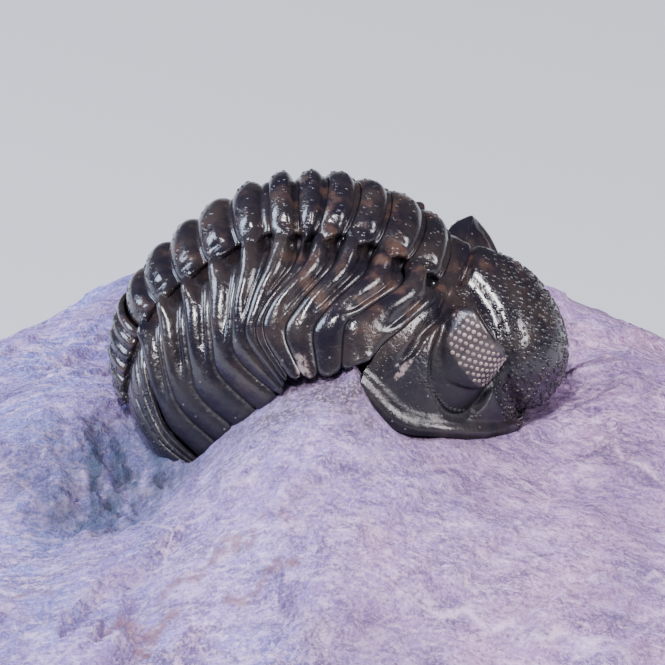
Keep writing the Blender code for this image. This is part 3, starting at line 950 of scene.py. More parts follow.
@dataclass
class Tail:
    """The tail shield: down is 0 at the last joint and 1 at the margin."""

    surface: ShellSurface
    tip: tuple[float, float] = (-14.3, -5.9)
    corner: tuple[float, float, float] = (-9.49, -8.0, -6.97)
    bulge: float = 1.9
    rings: float = 7.0
    thickness: float = 0.5
    outer_share: float = 0.9
    columns: int = 260
    rows: int = 120

    def point(self, down: Array, across: Array) -> Array:
        """The shield's plain surface.

        Args:
            down: 0 at the last joint and 1 at the margin.
            across: places from -2 to 2.

        Returns:
            The points in millimetres.
        """
        last = self.surface.point(np.full(len(across), 11.02), across)
        t = np.abs(across)
        turn = np.radians(np.where(t < 1, 15 * t, 15 + 75 * np.clip(t - 1, 0, 1) ** 0.9))
        x = self.corner[0] + (self.tip[0] - self.corner[0]) * np.cos(turn)
        y = np.sign(across) * -self.corner[1] * np.sin(turn)
        z = self.tip[1] + (self.corner[2] - self.tip[1]) * np.sin(turn) ** 2 + AXIS_LEVEL
        margin = np.stack([x, y, z], axis=-1)
        sideways = np.sign(across) * np.sin(turn * 0.9)
        out = np.stack([-np.cos(turn * 0.9), sideways, 0 * turn], axis=-1)
        control = (last + margin) / 2 + (self.bulge * (1 - 0.31 * t))[:, None] * out
        d = down[:, None]
        return (1 - d) ** 2 * last + 2 * d * (1 - d) * control + d**2 * margin

    def normal(self, down: Array, across: Array) -> Array:
        """The outward direction of point.

        Args:
            down: 0 at the last joint and 1 at the margin.
            across: places from -2 to 2.

        Returns:
            Directions of length 1.
        """
        low, high = np.maximum(across - 0.03, -2.0), np.minimum(across + 0.03, 2.0)
        over = self.point(down, high) - self.point(down, low)
        further = np.minimum(down + 0.02, 1.0)
        nearer = np.maximum(down - 0.02, 0.0)
        return unit(np.cross(over, self.point(further, across) - self.point(nearer, across)))

    def height(self, down: Array, across: Array) -> Array:
        """Rings on the axis, ribs on the sides and a smooth border.

        Args:
            down: 0 at the last joint and 1 at the margin.
            across: places from -2 to 2.

        Returns:
            Heights in millimetres.
        """
        t = np.abs(across)
        wave = np.abs(np.sin(math.pi * self.rings * down**0.85))
        axis = (0.34 * wave**0.6 + 0.15) * (1 - smooth(down, 0.72, 0.84)) - 0.1
        lean = down**0.85 - 0.06 * (t - 1)
        rib = np.abs(np.sin(math.pi * self.rings * 0.6 * np.clip(lean, 0, 1)))
        side = 0.24 * rib**0.5 * (1 - smooth(down, 0.66, 0.84)) - 0.12
        axial = 1 - smooth(t, 0.94, 1.06)
        furrow = 0.3 * hump(t, 1.0, 0.05) * (1 - smooth(down, 0.7, 0.8))
        return axis * axial + side * (1 - axial) - furrow

    def place(self, u: Array, v: Array) -> Array:
        """The outside from front to margin, then the inside from the margin to the front.

        Args:
            u: columns from -1 to 1.
            v: rows from -1 to 1.

        Returns:
            The points in millimetres.
        """
        down, inside = wrapped(v, self.outer_share)
        across = 2 * u
        taper = rounded(np.abs(across), 1.94, 0.06)
        down = 0.5 + (down - 0.5) * taper
        depth = self.thickness * np.sin(math.pi * inside) ** 0.35
        rise = (self.height(down, across) - depth) * taper
        return self.point(down, across) + rise[:, None] * self.normal(down, across)

    def granules(self, rng: np.random.RandomState) -> tuple[Array, Array, Array]:
        """Fine granules on the rings and ribs.

        Args:
            rng: where the scatter comes from.

        Returns:
            Their places, outward directions and radii.
        """
        count = 420
        across = rng.uniform(-1.8, 1.8, count)
        down = rng.uniform(0.06, 0.86, count)
        places = self.point(down, across)
        normals = self.normal(down, across)
        places = places + (self.height(down, across) - 0.02)[:, None] * normals
        return places, normals, rng.uniform(0.07, 0.14, count)

    def build(self, look: bpy.types.Material) -> None:
        """The tail shield as one closed piece.

        Args:
            look: its material.
        """
        mesh = closed(placed_grid(self.columns, self.rows, self.place))
        lumps(mesh, *self.granules(np.random.RandomState(11)))
        piece("pygidium_shell", mesh, look, Slot.SHELL, ("pygidium",))


@dataclass
class Rock:
    """The limestone block with its mound under the animal.

    pit and wedge give a middle in plan and the half lengths there, and wedge also its height.
    sides gives, from the top down, a share of the height and how far the block reaches there.
    lines gives a kind, a half width and a path in plan, and places are points of the top.
    """

    head: Head
    surface: ShellSurface
    tail: Tail
    length: float = 74.0
    depth: float = 70.0
    centre_y: float = -4.0
    columns: int = 300
    rows: int = 280
    head_gap: float = 0.2
    tip_gap: float = -0.5
    pit: tuple[float, float, float, float] = (-14.8, -8.7, 6.0, 6.8)
    half_widths: tuple[tuple[float, ...], ...] = (
        (-15.5, -12.0, -8.9, -5.0, 2.1), (0.0, 7.0, 8.8, 10.6, 11.8),
    )
    wedge: tuple[float, float, float, float, float] = (1.7, 0.85, 11.0, 1.6, 1.4)
    sharp_angle: float = math.radians(64)
    sides: tuple[tuple[float, float], ...] = (
        (0.975, 1.003), (0.92, 1.007), (0.85, 1.011), (0.77, 1.015), (0.68, 1.019), (0.58, 1.02),
        (0.48, 1.017), (0.38, 1.012), (0.28, 1.004), (0.18, 0.995), (0.09, 0.985), (0.0, 0.975),
    )
    lines: tuple[tuple[str, float, tuple[tuple[float, float], ...]], ...] = (
        ("rust", 0.8, ((-11.2, -23.9), (-9.3, -22.9), (-7.2, -22.0), (-4.9, -21.1))),
        ("rust", 0.7, ((-13.8, -26.4), (-12.8, -27.2))),
        ("rust", 0.5, ((-21.9, -21.8), (-19.8, -21.8))),
        ("rust", 0.6, ((-7.5, -25.9), (-3.0, -24.4))),
        ("rust", 0.9, ((-14.9, -25.4), (-11.4, -25.9))),
        ("rust", 0.6, ((-3.0, -21.1), (-2.3, -21.0))),
        ("pale_vein", 0.35, ((15.9, -4.7), (18.7, -6.1), (23.3, -9.5))),
        ("pale_vein", 0.5, ((6.8, -26.4), (11.7, -26.7), (18.7, -26.9))),
        ("pale_vein", 0.3, ((-22.2, 12.6), (-20.1, 10.7), (-19.9, 6.2))),
        ("pale_vein", 0.5, ((21.5, -20.1), (23.3, -20.3))),
        ("pale_vein", 0.35, ((-9.6, -22.1), (-7.5, -21.5))),
        ("pale_vein", 0.35, ((-23.3, -20.9), (-19.1, -21.2), (-15.6, -22.7))),
        ("crack", 0.22, ((14.9, 1.4), (17.0, -0.9), (19.1, -2.7))),
        ("crack", 0.15, ((11.7, -19.2), (15.9, -20.4))),
        ("crack", 0.3, ((-4.7, -24.0), (-3.0, -26.9), (-3.3, -30.0))),
    )
    places: tuple[tuple[float, float, float], ...] = (
        (-37.0, 31.0, -19.5), (-19.0, 31.0, -12.05), (0.0, 31.0, -8.2), (20.0, 31.0, -12.15),
        (37.0, 31.0, -20.5), (-37.0, 16.0, -12.5), (-23.0, 13.0, -6.8), (-13.0, 15.0, -4.6),
        (0.0, 17.0, -2.2), (13.0, 15.0, -4.4), (23.0, 13.0, -7.6), (37.0, 14.0, -13.5),
        (-24.0, 22.0, -10.8), (24.0, 22.0, -11.2),
        (-23.0, 2.0, -6.6), (-18.0, 3.0, -5.4), (0.0, 0.0, 2.0), (17.5, 4.0, -5.0),
        (24.0, 0.0, -6.6), (-18.5, -6.0, -7.0), (-13.5, -7.5, -7.8), (-11.5, -11.5, -6.8),
        (-37.0, -2.0, -11.0), (37.0, -3.0, -10.5), (-6.0, -12.5, -1.9), (-2.0, -13.0, 0.5),
        (1.5, -13.0, 0.8), (6.0, -13.0, -2.6), (10.5, -11.0, -4.3), (16.0, -8.0, -6.0),
        (-13.5, 7.5, -7.4), (-9.5, 11.0, -6.2), (-4.0, 12.5, -1.2), (1.0, 13.0, 0.4),
        (6.0, 13.0, -2.8), (10.5, 11.0, -4.8), (15.5, 5.0, -6.6),
        (-16.0, -18.0, -9.2), (0.0, -19.0, -2.6), (16.0, -16.0, -7.2), (28.0, -16.0, -10.0),
        (-28.0, -18.0, -11.5), (0.0, -28.0, -9.0), (-18.0, -29.0, -14.0), (18.0, -28.0, -12.0),
        (-37.0, -39.0, -20.5), (-16.0, -39.0, -20.0), (2.0, -39.0, -18.5), (18.0, -39.0, -19.0),
        (37.0, -39.0, -20.0),
    )
    weights: Array = field(init=False)

    def __post_init__(self) -> None:
        """Bends a thin sheet through the measured places."""
        places = np.array(self.places)
        bend = self.bend(places[:, 0], places[:, 1])
        flat = np.column_stack([np.ones(len(places)), places[:, :2]])
        system = np.block([[bend, flat], [flat.T, np.zeros((3, 3))]])
        self.weights = np.linalg.solve(system, np.concatenate([places[:, 2], np.zeros(3)]))

    def bend(self, x: Array, y: Array) -> Array:
        """How much each measured place lifts each point, in a thin sheet.

        Args:
            x: places along the animal, in millimetres.
            y: places across it.

        Returns:
            A row for each point, with a number for each measured place.
        """
        places = np.array(self.places)
        gap = np.hypot(x[:, None] - places[:, 0], y[:, None] - places[:, 1])
        return np.where(gap > 0, gap**2 * np.log(np.maximum(gap, 1e-9)), 0)

    def forward(self, x: Array) -> Array:
        """The head's f at the height of its plane."""
        return (x - self.head.front[0]) / math.cos(self.head.tilt)

    def seat(self, x: Array, y: Array) -> Array:
        """The highest the rock stands under the shell, far above it where there is no shell.

        Args:
            x: places along the animal, in millimetres.
            y: places across it.

        Returns:
            Heights over the axis level, in millimetres.
        """
        tilt = self.head.tilt
        forward = self.forward(x)
        radius = self.head.cheek_radius(forward, y)
        sag = self.head.sag(forward, y)
        head = self.head.front[1] - forward * math.sin(tilt)
        head = head - (sag + self.head_gap) / math.cos(tilt)
        head = head + 9 * np.maximum(radius - 1.0, 0) + 4 * np.maximum(-14.5 - forward, 0)
        tips = np.array(self.surface.joints)[::-1, 10:12]
        (tip_x, tip_z), (corner_x, _, corner_z) = self.tail.tip, self.tail.corner
        track_x = np.concatenate([[-18.0, tip_x, corner_x], tips[:, 0]])
        track_z = np.concatenate([[tip_z, tip_z, corner_z], tips[:, 1]])
        half = np.interp(x, *self.half_widths)
        rear = np.interp(x, track_x, track_z) - self.tip_gap
        rear = rear + 2.0 * np.maximum(np.abs(y) - half - 0.4, 0)
        rear = rear + 2.0 * np.maximum(-15.2 - x, 0) + 3.0 * np.maximum(x - 2.5, 0)
        return np.minimum(head, rear)

    def level(self, x: Array, y: Array) -> Array:
        """The surface of the sheet, kept under the shell.

        Args:
            x: places along the animal, in millimetres.
            y: places across it.

        Returns:
            Heights in millimetres.
        """
        weights, (lift, along, over) = self.weights[:-3], self.weights[-3:]
        flat = self.bend(x, y) @ weights + lift + along * x + over * y
        return blend(flat, self.seat(x, y), 0.3) + AXIS_LEVEL

    def in_pit(self, x: Array, y: Array) -> Array:
        """1 in the hollow below the tail.

        Args:
            x: places along the animal, in millimetres.
            y: places across it.

        Returns:
            One number for each, falling to 0 outside.
        """
        middle_x, middle_y, wide, deep = self.pit
        return np.exp(-(((x - middle_x) / wide) ** 2 + ((y - middle_y) / deep) ** 2) ** 1.5)

    def relief(self, x: Array, y: Array) -> Array:
        """Lumps, ledges and the streaks of the hollow, in millimetres.

        Args:
            x: places along the animal, in millimetres.
            y: places across it.

        Returns:
            Heights over the smooth surface.
        """
        points = np.stack([x, y, 0 * x], axis=-1)
        edge = np.minimum(1.0, np.hypot(x, y - self.centre_y) / 12.0)
        broad = 0.5 * noise_at(points, 9.0, 2, 3.1) * (0.35 + 0.65 * edge)
        lumpy = 0.2 * noise_at(points, 2.6, 3, 8.7)
        fine = 0.1 * noise_at(points, 0.9, 3, 1.3)
        turned = np.stack([0.8 * x + 0.6 * y, 3.2 * (0.8 * y - 0.6 * x), 0 * x], axis=-1)
        ledge = noise_at(turned, 11.0, 3, 5.5)
        low = 1 + 1.6 * smooth(-y, 17.0, 25.0) * (1 - smooth(x, -2.0, 8.0))
        ledges = 0.4 * low * (smooth(ledge, 0.02, 0.1) + smooth(ledge, 0.3, 0.36)) * edge
        streak = noise_at(np.stack([2.6 * (x + 0.45 * y), 0.5 * y, 0 * x], axis=-1), 2.2, 3, 2.2)
        return broad + lumpy + fine + ledges - self.in_pit(x, y) * (0.5 - 0.55 * streak)

    def plan(self, a: Array, b: Array) -> tuple[Array, Array]:
        """A square from -1 to 1 drawn out to the block's rounded, slightly uneven outline.

        Args:
            a: columns from -1 to 1.
            b: rows from -1 to 1.

        Returns:
            Two arrays, in millimetres.
        """
        turn = np.arctan2(b, a)
        uneven = 0.016 * np.sin(3 * turn + 0.7) + 0.012 * np.sin(5 * turn + 2.1)
        uneven = uneven + 0.008 * np.sin(9 * turn)
        uneven = 1 + uneven * np.maximum(np.abs(a), np.abs(b)) ** 3
        gather = 0.35
        a, b = a * (1 - gather) + a**3 * gather, b * (1 - gather) + b**3 * gather
        x = a * np.sqrt(1 - 0.4 * b**2 / 2) * uneven * self.length / 2
        y = b * np.sqrt(1 - 0.4 * a**2 / 2) * uneven * self.depth / 2 + self.centre_y
        return x, y

    def place(self, a: Array, b: Array) -> Array:
        """The top of the block, with the wedge of rock below the first pleural tips.

        Args:
            a: columns from -1 to 1.
            b: rows from -1 to 1.

        Returns:
            The points in millimetres.
        """
        x, y = self.plan(a, b)
        inner = 1 - smooth(np.maximum(np.abs(a), np.abs(b)), 0.9, 1.0)
        relief = self.relief(x, y) * (1 - 0.8 * self.contact(np.stack([x, y], axis=-1)))
        middle_x, long, middle_y, wide, high = self.wedge
        wedge = high * hump(x, middle_x, long) * hump(np.abs(y), middle_y, wide)
        return np.stack([x, y, self.level(x, y) + wedge + relief * (0.3 + 0.7 * inner)], axis=-1)

    def key(self, vert: bmesh.types.BMVert) -> tuple[float, float]:
        """A point of the rim by its place in plan."""
        return round(vert.co.x, 5), round(vert.co.y, 5)

    def build(self, look: bpy.types.Material) -> None:
        """The top, its broken sides and its sawn base as one closed piece.

        Args:
            look: its material.
        """
        mesh = placed_grid(self.columns, self.rows, self.place)
        rim = [edge for edge in mesh.edges if edge.is_boundary]
        origins = {self.key(vert): vert.co.copy() for edge in rim for vert in edge.verts}
        for share, spread in self.sides:
            made = bmesh.ops.extrude_edge_only(mesh, edges=rim)["geom"]
            edges = [item for item in made if isinstance(item, bmesh.types.BMEdge)]
            rim = [edge for edge in edges if edge.is_boundary]
            lower = {}
            for vert in {vert for edge in rim for vert in edge.verts}:
                origin = origins[self.key(vert)]
                rough = noise.fractal(Vector((origin.x, origin.y, 30 * share)) / 7.0, 0.9, 2.1, 4)
                wide = spread - 0.022 * abs(rough) * (share > 0)
                vert.co.x = origin.x * wide
                vert.co.y = self.centre_y + (origin.y - self.centre_y) * wide
                vert.co.z = origin.z * share
                lower[self.key(vert)] = origin
            origins = lower
        bmesh.ops.contextual_create(mesh, geom=rim)
        bmesh.ops.recalc_face_normals(mesh, faces=mesh.faces)
        made = piece("limestone_matrix", ordered(mesh), look, Slot.ROCK, ("matrix",))
        made.data.set_sharp_from_angle(angle=self.sharp_angle)
        # Marks the hollow below the tail, darkened teal partly as its own colour and partly as
        # painted shade
        mark(made, "hollow", lambda p: np.sqrt(self.in_pit(p[:, 0], p[:, 1])))
        # Marks the rock's painted shadow along the shell's edge
        mark(made, "contact", self.contact)
        for kind in ("rust", "pale_vein", "crack"):
            mark(made, kind, lambda p, kind=kind: self.line(kind, p))

    def line(self, kind: str, points: Array) -> Array:
        """1 on the middle of the lines of one kind that cross the top, fading over their width.

        Args:
            kind: the kind, as the table of lines names it.
            points: places in the animal's frame, in millimetres.

        Returns:
            One number for each point.
        """
        x, y = points[:, 0], points[:, 1]
        here = points[:, :2] + 0.5 * np.stack([np.sin(2.3 * y), np.sin(1.9 * x)], axis=-1)
        out = np.zeros(len(points))
        for name, width, path in self.lines:
            for start, end in zip(path, path[1:] if name == kind else ()):
                way = np.subtract(end, start)
                share = np.clip((here - start) @ way / (way @ way), 0, 1)
                gap = np.linalg.norm(here - start - share[:, None] * way, axis=1)
                out = np.maximum(out, 1 - smooth(gap, 0.2 * width, width))
        return out * (points[:, 2] > 6.0)

    def contact(self, points: Array) -> Array:
        """1 close to the shell's edge, 0 away from it: where the rock has its painted shadow and
        its relief is damped.

        Args:
            points: places in the animal's frame, in millimetres.

        Returns:
            One number for each.
        """
        x, y = points[:, 0], points[:, 1]
        forward = self.forward(x)
        radius = self.head.cheek_radius(forward, y)
        head = hump(radius, 0.95, 0.14) * (forward > -14.5)
        half = np.interp(x, *self.half_widths)
        along = (1 - smooth(x, 2.5, 5.0)) * smooth(x, -12.0, -6.0)
        rear = hump(np.abs(y) - half, 1.4, 2.8) * along
        return np.clip(np.maximum(head, rear), 0, 1)


class Wire:
    """A value in a material that can be reckoned with."""

    def __init__(self, maker: "Finish", socket: bpy.types.NodeSocket) -> None:
        """Keeps the output that carries the value."""
        self.maker = maker
        self.socket = socket

    def __add__(self, other: Any) -> "Wire":
        """self + other."""
        return self.maker.math("ADD", self, other)

    def __sub__(self, other: Any) -> "Wire":
        """self - other."""
        return self.maker.math("SUBTRACT", self, other)

    def __rsub__(self, other: Any) -> "Wire":
        """other - self."""
        return self.maker.math("SUBTRACT", other, self)

    def __mul__(self, other: Any) -> "Wire":
        """self * other."""
        return self.maker.math("MULTIPLY", self, other)

    __radd__ = __add__
    __rmul__ = __mul__

    def step(self, low: float, high: float) -> "Wire":
        """A smooth step over the value.

        Args:
            low: where it is still 0.
            high: where it has become 1.

        Returns:
            The step.
        """
        settings = {"interpolation_type": "SMOOTHSTEP"}
        sockets = {"Value": self, "From Min": low, "From Max": high}
        return self.maker.node("ShaderNodeMapRange", settings, sockets)


class Finish:
    """One material's nodes."""

    def __init__(self, name: str) -> None:
        """A new material with a Principled shader."""
        self.material = bpy.data.materials.new(name)
        self.material.use_nodes = True
        self.tree = self.material.node_tree
        self.shader = self.tree.nodes["Principled BSDF"]
        self.place = self.node("ShaderNodeTexCoord", output=3)

    def node(
        self, kind: str, settings: dict[str, Any] | None = None,
        sockets: dict[Any, Any] | None = None, output: int = 0,
    ) -> Wire:
        """A new node's output.

        Args:
            kind: the node's type.
            settings: its own settings, set first.
            sockets: values or wires for its inputs.
            output: which output is returned.

        Returns:
            That output.
        """
        made = self.tree.nodes.new(kind)
        for key, value in (settings or {}).items():
            setattr(made, key, value)
        for key, value in (sockets or {}).items():
            self.feed(made.inputs[key], value)
        return Wire(self, made.outputs[output])

    def feed(self, socket: bpy.types.NodeSocket, value: Any) -> None:
        """Sets or links one input.

        Args:
            socket: the input.
            value: a wire to link, or a value to set.
        """
        if isinstance(value, Wire):
            self.tree.links.new(value.socket, socket)
        else:
            socket.default_value = value

    def math(self, operation: str, a: Any, b: Any) -> Wire:
        """One Math node."""
        return self.node("ShaderNodeMath", {"operation": operation}, {0: a, 1: b})

    def noise(
        self, size: float, detail: float = 4.0, rough: float = 0.55, at: Wire | None = None
    ) -> Wire:
        """Noise whose lumps are about size millimetres wide.

        Args:
            size: how wide.
            detail: how many finer layers it has.
            rough: how strong they are.
            at: where it is read, if not at the object's own coordinates.

        Returns:
            Its value.
        """
        sockets = {"Vector": at or self.place, "Scale": 1 / (size * MILLIMETRE), "Detail": detail}
        return self.node("ShaderNodeTexNoise", None, {**sockets, "Roughness": rough})

    def cells(self, size: float, feature: str = "F1") -> Wire:
        """The distance in cells of about size millimetres."""
        sockets = {"Vector": self.place, "Scale": 1 / (size * MILLIMETRE)}
        return self.node("ShaderNodeTexVoronoi", {"feature": feature}, sockets)

    def stretched(self, turn: tuple[float, ...], scale: tuple[float, ...]) -> Wire:
        """Object coordinates turned and scaled."""
        sockets = {"Vector": self.place, "Rotation": turn, "Scale": scale}
        return self.node("ShaderNodeMapping", None, sockets)

    def attribute(self, name: str) -> Wire:
        """A number written on the mesh."""
        return self.node("ShaderNodeAttribute", {"attribute_name": name}, output=2)

    def mix(self, share: Any, a: Any, b: Any) -> Wire:
        """Two colours mixed."""
        return self.node("ShaderNodeMix", {"data_type": "RGBA"}, {0: share, 6: a, 7: b}, output=2)

    def mottle(self, base: Wire, layers: tuple[tuple[Any, ...], ...]) -> Wire:
        """Patches of other colours over a base.

        Args:
            base: the colour below.
            layers: for each, the size, detail, roughness and place of its noise, the two
                values that it steps between, how much it covers, and its colour.

        Returns:
            The mottled colour.
        """
        for size, detail, rough, at, low, high, share, tone in layers:
            patches = self.noise(size, detail, rough, at).step(low, high)
            base = self.mix(patches * share, base, tone)
        return base

    def bump(self, height: Wire, depth: float, below: Wire | None = None) -> Wire:
        """A bump of depth millimetres over another.

        Args:
            height: the pattern.
            depth: how high it stands, in millimetres.
            below: the normal that it adds to.

        Returns:
            The normal.
        """
        sockets = {"Height": height, "Strength": 1.0, "Distance": depth * MILLIMETRE}
        if below:
            sockets["Normal"] = below
        return self.node("ShaderNodeBump", None, sockets)

    def set(self, **values: Any) -> None:
        """The shader's inputs, named with _ for a space."""
        for key, value in values.items():
            self.feed(self.shader.inputs[key.replace("_", " ")], value)


def colour(red: float, green: float, painted_blue_light: float) -> tuple[float, float, float, float]:
    """An opaque colour."""
    return (red, green, painted_blue_light, 1.0)


@dataclass(frozen=True)
class ShellFinish:
    """Glossy near-black calcite with reddish-brown patches and a fine grain, painted shade in its
    furrows and a painted highlight on one pleural tip.
    """

    black: tuple[float, ...] = colour(0.011, 0.009, 0.016)
    brown: tuple[float, ...] = colour(0.034, 0.026, 0.026)
    red: tuple[float, ...] = colour(0.085, 0.048, 0.038)
    low_black: tuple[float, ...] = colour(0.010, 0.010, 0.018)
    tan: tuple[float, ...] = colour(0.32, 0.25, 0.25)
    sclera: tuple[float, ...] = colour(0.10, 0.075, 0.075)
    speck: tuple[float, ...] = colour(0.30, 0.26, 0.27)
    roughness: float = 0.2

    def build(self) -> bpy.types.Material:
        """Builds the nodes.

        Returns:
            The material.
        """
        f = Finish("fossil_shell_gloss")
        clouds = f.noise(3.2, 5.0, 0.6).step(0.38, 0.68)
        patches = f.noise(1.7, 3.0, 0.5).step(0.5, 0.72)
        warm = f.attribute("warmth")
        base = f.mix(clouds, self.black, self.brown)
        base = f.mix(patches * (0.15 + 0.85 * warm), base, self.red)
        # Darker and matte towards the bottom of the pleurae and the cheeks
        dull = f.attribute("dull")
        base = f.mix(dull * 0.6, base, self.low_black)
        base = f.mix(f.attribute("eye") * f.noise(1.4, 2.0, 0.5).step(0.2, 0.6), base, self.sclera)
        # Painted shade: the grooves, the axial pits and the trough below each eye darkened to black
        base = f.mix(f.attribute("furrow"), base, self.black)
        # Tan on the scratch of wear across the cheek, and a painted highlight on a pleural tip
        wear_and_highlight_share = f.attribute("wear_and_highlight") * f.noise(0.5, 4.0, 0.7).step(0.4, 0.58)
        base = f.mix(wear_and_highlight_share * 0.8, base, self.tan)
        grain = f.noise(0.22, 3.0, 0.6)
        specks = f.cells(0.9).step(0.11, 0.04)
        base = f.mix(specks * 0.5, base, self.speck)
        rough = f.noise(1.1, 4.0, 0.6) * 0.3 + (self.roughness - 0.12)
        rough = rough + dull * 0.15 + f.attribute("furrow") * 0.3
        normal = f.bump(f.noise(1.3, 3.0, 0.6), 0.09)
        normal = f.bump(f.noise(0.5, 3.0, 0.6), 0.05, normal)
        normal = f.bump(grain, 0.016, normal)
        f.set(Base_Color=base, Roughness=rough, Normal=normal, IOR=1.47)
        f.set(Coat_Weight=(1 - dull) * 0.4, Coat_Roughness=0.1)
        return f.material


@dataclass(frozen=True)
class LensFinish:
    """The eye's calcite lenses, paler and browner than the shell."""

    dark: tuple[float, ...] = colour(0.13, 0.10, 0.09)
    pale: tuple[float, ...] = colour(0.33, 0.26, 0.24)

    def build(self) -> bpy.types.Material:
        """Builds the nodes.

        Returns:
            The material.
        """
        f = Finish("eye_lens_calcite")
        base = f.mix(f.noise(1.4, 2.0, 0.5).step(0.35, 0.65), self.dark, self.pale)
        f.set(Base_Color=base, Roughness=f.noise(0.5) * 0.2 + 0.1, IOR=1.6, Coat_Weight=0.6)
        return f.material


@dataclass(frozen=True)
class RockFinish:
    """Lavender-grey limestone with pale veins and rust, painted blue light on its left, a painted
    shadow along the shell's edge, and a dark streaked hollow that is partly painted shade.
    """

    lavender: tuple[float, ...] = colour(0.36, 0.22, 0.58)
    painted_blue_light: tuple[float, ...] = colour(0.17, 0.19, 0.58)
    pink: tuple[float, ...] = colour(0.48, 0.25, 0.46)
    pale: tuple[float, ...] = colour(0.78, 0.58, 0.86)
    purple: tuple[float, ...] = colour(0.085, 0.05, 0.16)
    rust: tuple[float, ...] = colour(0.22, 0.105, 0.12)
    teal_tint_and_shade: tuple[float, ...] = colour(0.018, 0.035, 0.07)
    contact_shade: tuple[float, ...] = colour(0.06, 0.04, 0.05)

    def build(self) -> bpy.types.Material:
        """Builds the nodes.

        Returns:
            The material.
        """
        f = Finish("lavender_limestone")
        split = f.node("ShaderNodeSeparateXYZ", None, {0: f.place})
        # Painted light: blue on the left where the blue lamp falls, pink towards the right
        wander = f.noise(14.0, 4.0, 0.6)
        blue_lit_side = (split * 22.0 + wander - 0.5).step(0.45, -0.45)
        base = f.mix(blue_lit_side, self.pink, self.painted_blue_light)
        streaked = f.stretched((0, 0, 0.6), (1.0, 2.6, 1.0))
        along = f.stretched((0, 0, 0.6), (0.75, 1.9, 1.0))
        across = f.stretched((0, 0, -0.5), (1.0, 2.6, 1.0))
        base = f.mottle(base, (
            (6.0, 6.0, 0.62, None, 0.4, 0.62, 0.7, self.lavender),
            (3.0, 6.0, 0.7, streaked, 0.48, 0.66, 0.55, self.pale),
            (4.4, 7.0, 0.75, along, 0.47, 0.62, 0.65, self.purple),
            (1.3, 6.0, 0.75, along, 0.48, 0.62, 0.55, self.purple),
            (0.9, 5.0, 0.75, along, 0.5, 0.64, 0.65, self.pale),
            (5.2, 5.0, 0.7, across, 0.66, 0.76, 0.6, self.rust),
        ))
        veins = f.cells(9.0, "DISTANCE_TO_EDGE").step(0.02, 0.0) * f.noise(7.0).step(0.45, 0.6)
        base = f.mix(veins * 0.5, base, self.pale)
        hollow = f.attribute("hollow")
        downwards = f.stretched((0, 0, 0.42), (1.0, 0.22, 0.6))
        drips = f.noise(1.5, 4.0, 0.6, downwards).step(0.3, 0.62)
        # Painted shadow on the rock along the shell's edge, broken by noise
        contact_shade = f.attribute("contact") * f.noise(2.0, 5.0, 0.7).step(0.3, 0.56)
        base = f.mix(contact_shade * 0.95, base, self.contact_shade)
        base = f.mottle(base, (
            (0.25, 3.0, 0.7, None, 0.45, 0.65, 0.4, self.pale),
            (0.35, 3.0, 0.7, None, 0.5, 0.68, 0.5, self.purple),
            (11.0, 5.0, 0.65, None, 0.46, 0.62, 0.3, self.purple),
        ))
        ragged = f.noise(0.8, 5.0, 0.7)
        for kind, low, high, share, tone in (
            ("rust", 0.34, 0.56, 0.75, self.rust),
            ("pale_vein", 0.4, 0.58, 0.8, self.pale),
            ("crack", 0.3, 0.5, 0.8, self.purple),
        ):
            base = f.mix(f.attribute(kind) * ragged.step(low, high) * share, base, tone)
        # The hollow darkened teal with streaks: partly the rock's own colour, partly painted shade
        base = f.mix(hollow * (0.42 + 0.55 * drips), base, self.teal_tint_and_shade)
        normal = f.bump(f.noise(1.6, 5.0, 0.65), 0.36)
        normal = f.bump(f.noise(0.4, 4.0, 0.7), 0.2, normal)
        rough = f.noise(2.0) * 0.3 + 0.52
        f.set(Base_Color=base, Roughness=rough, Normal=normal)
        return f.material


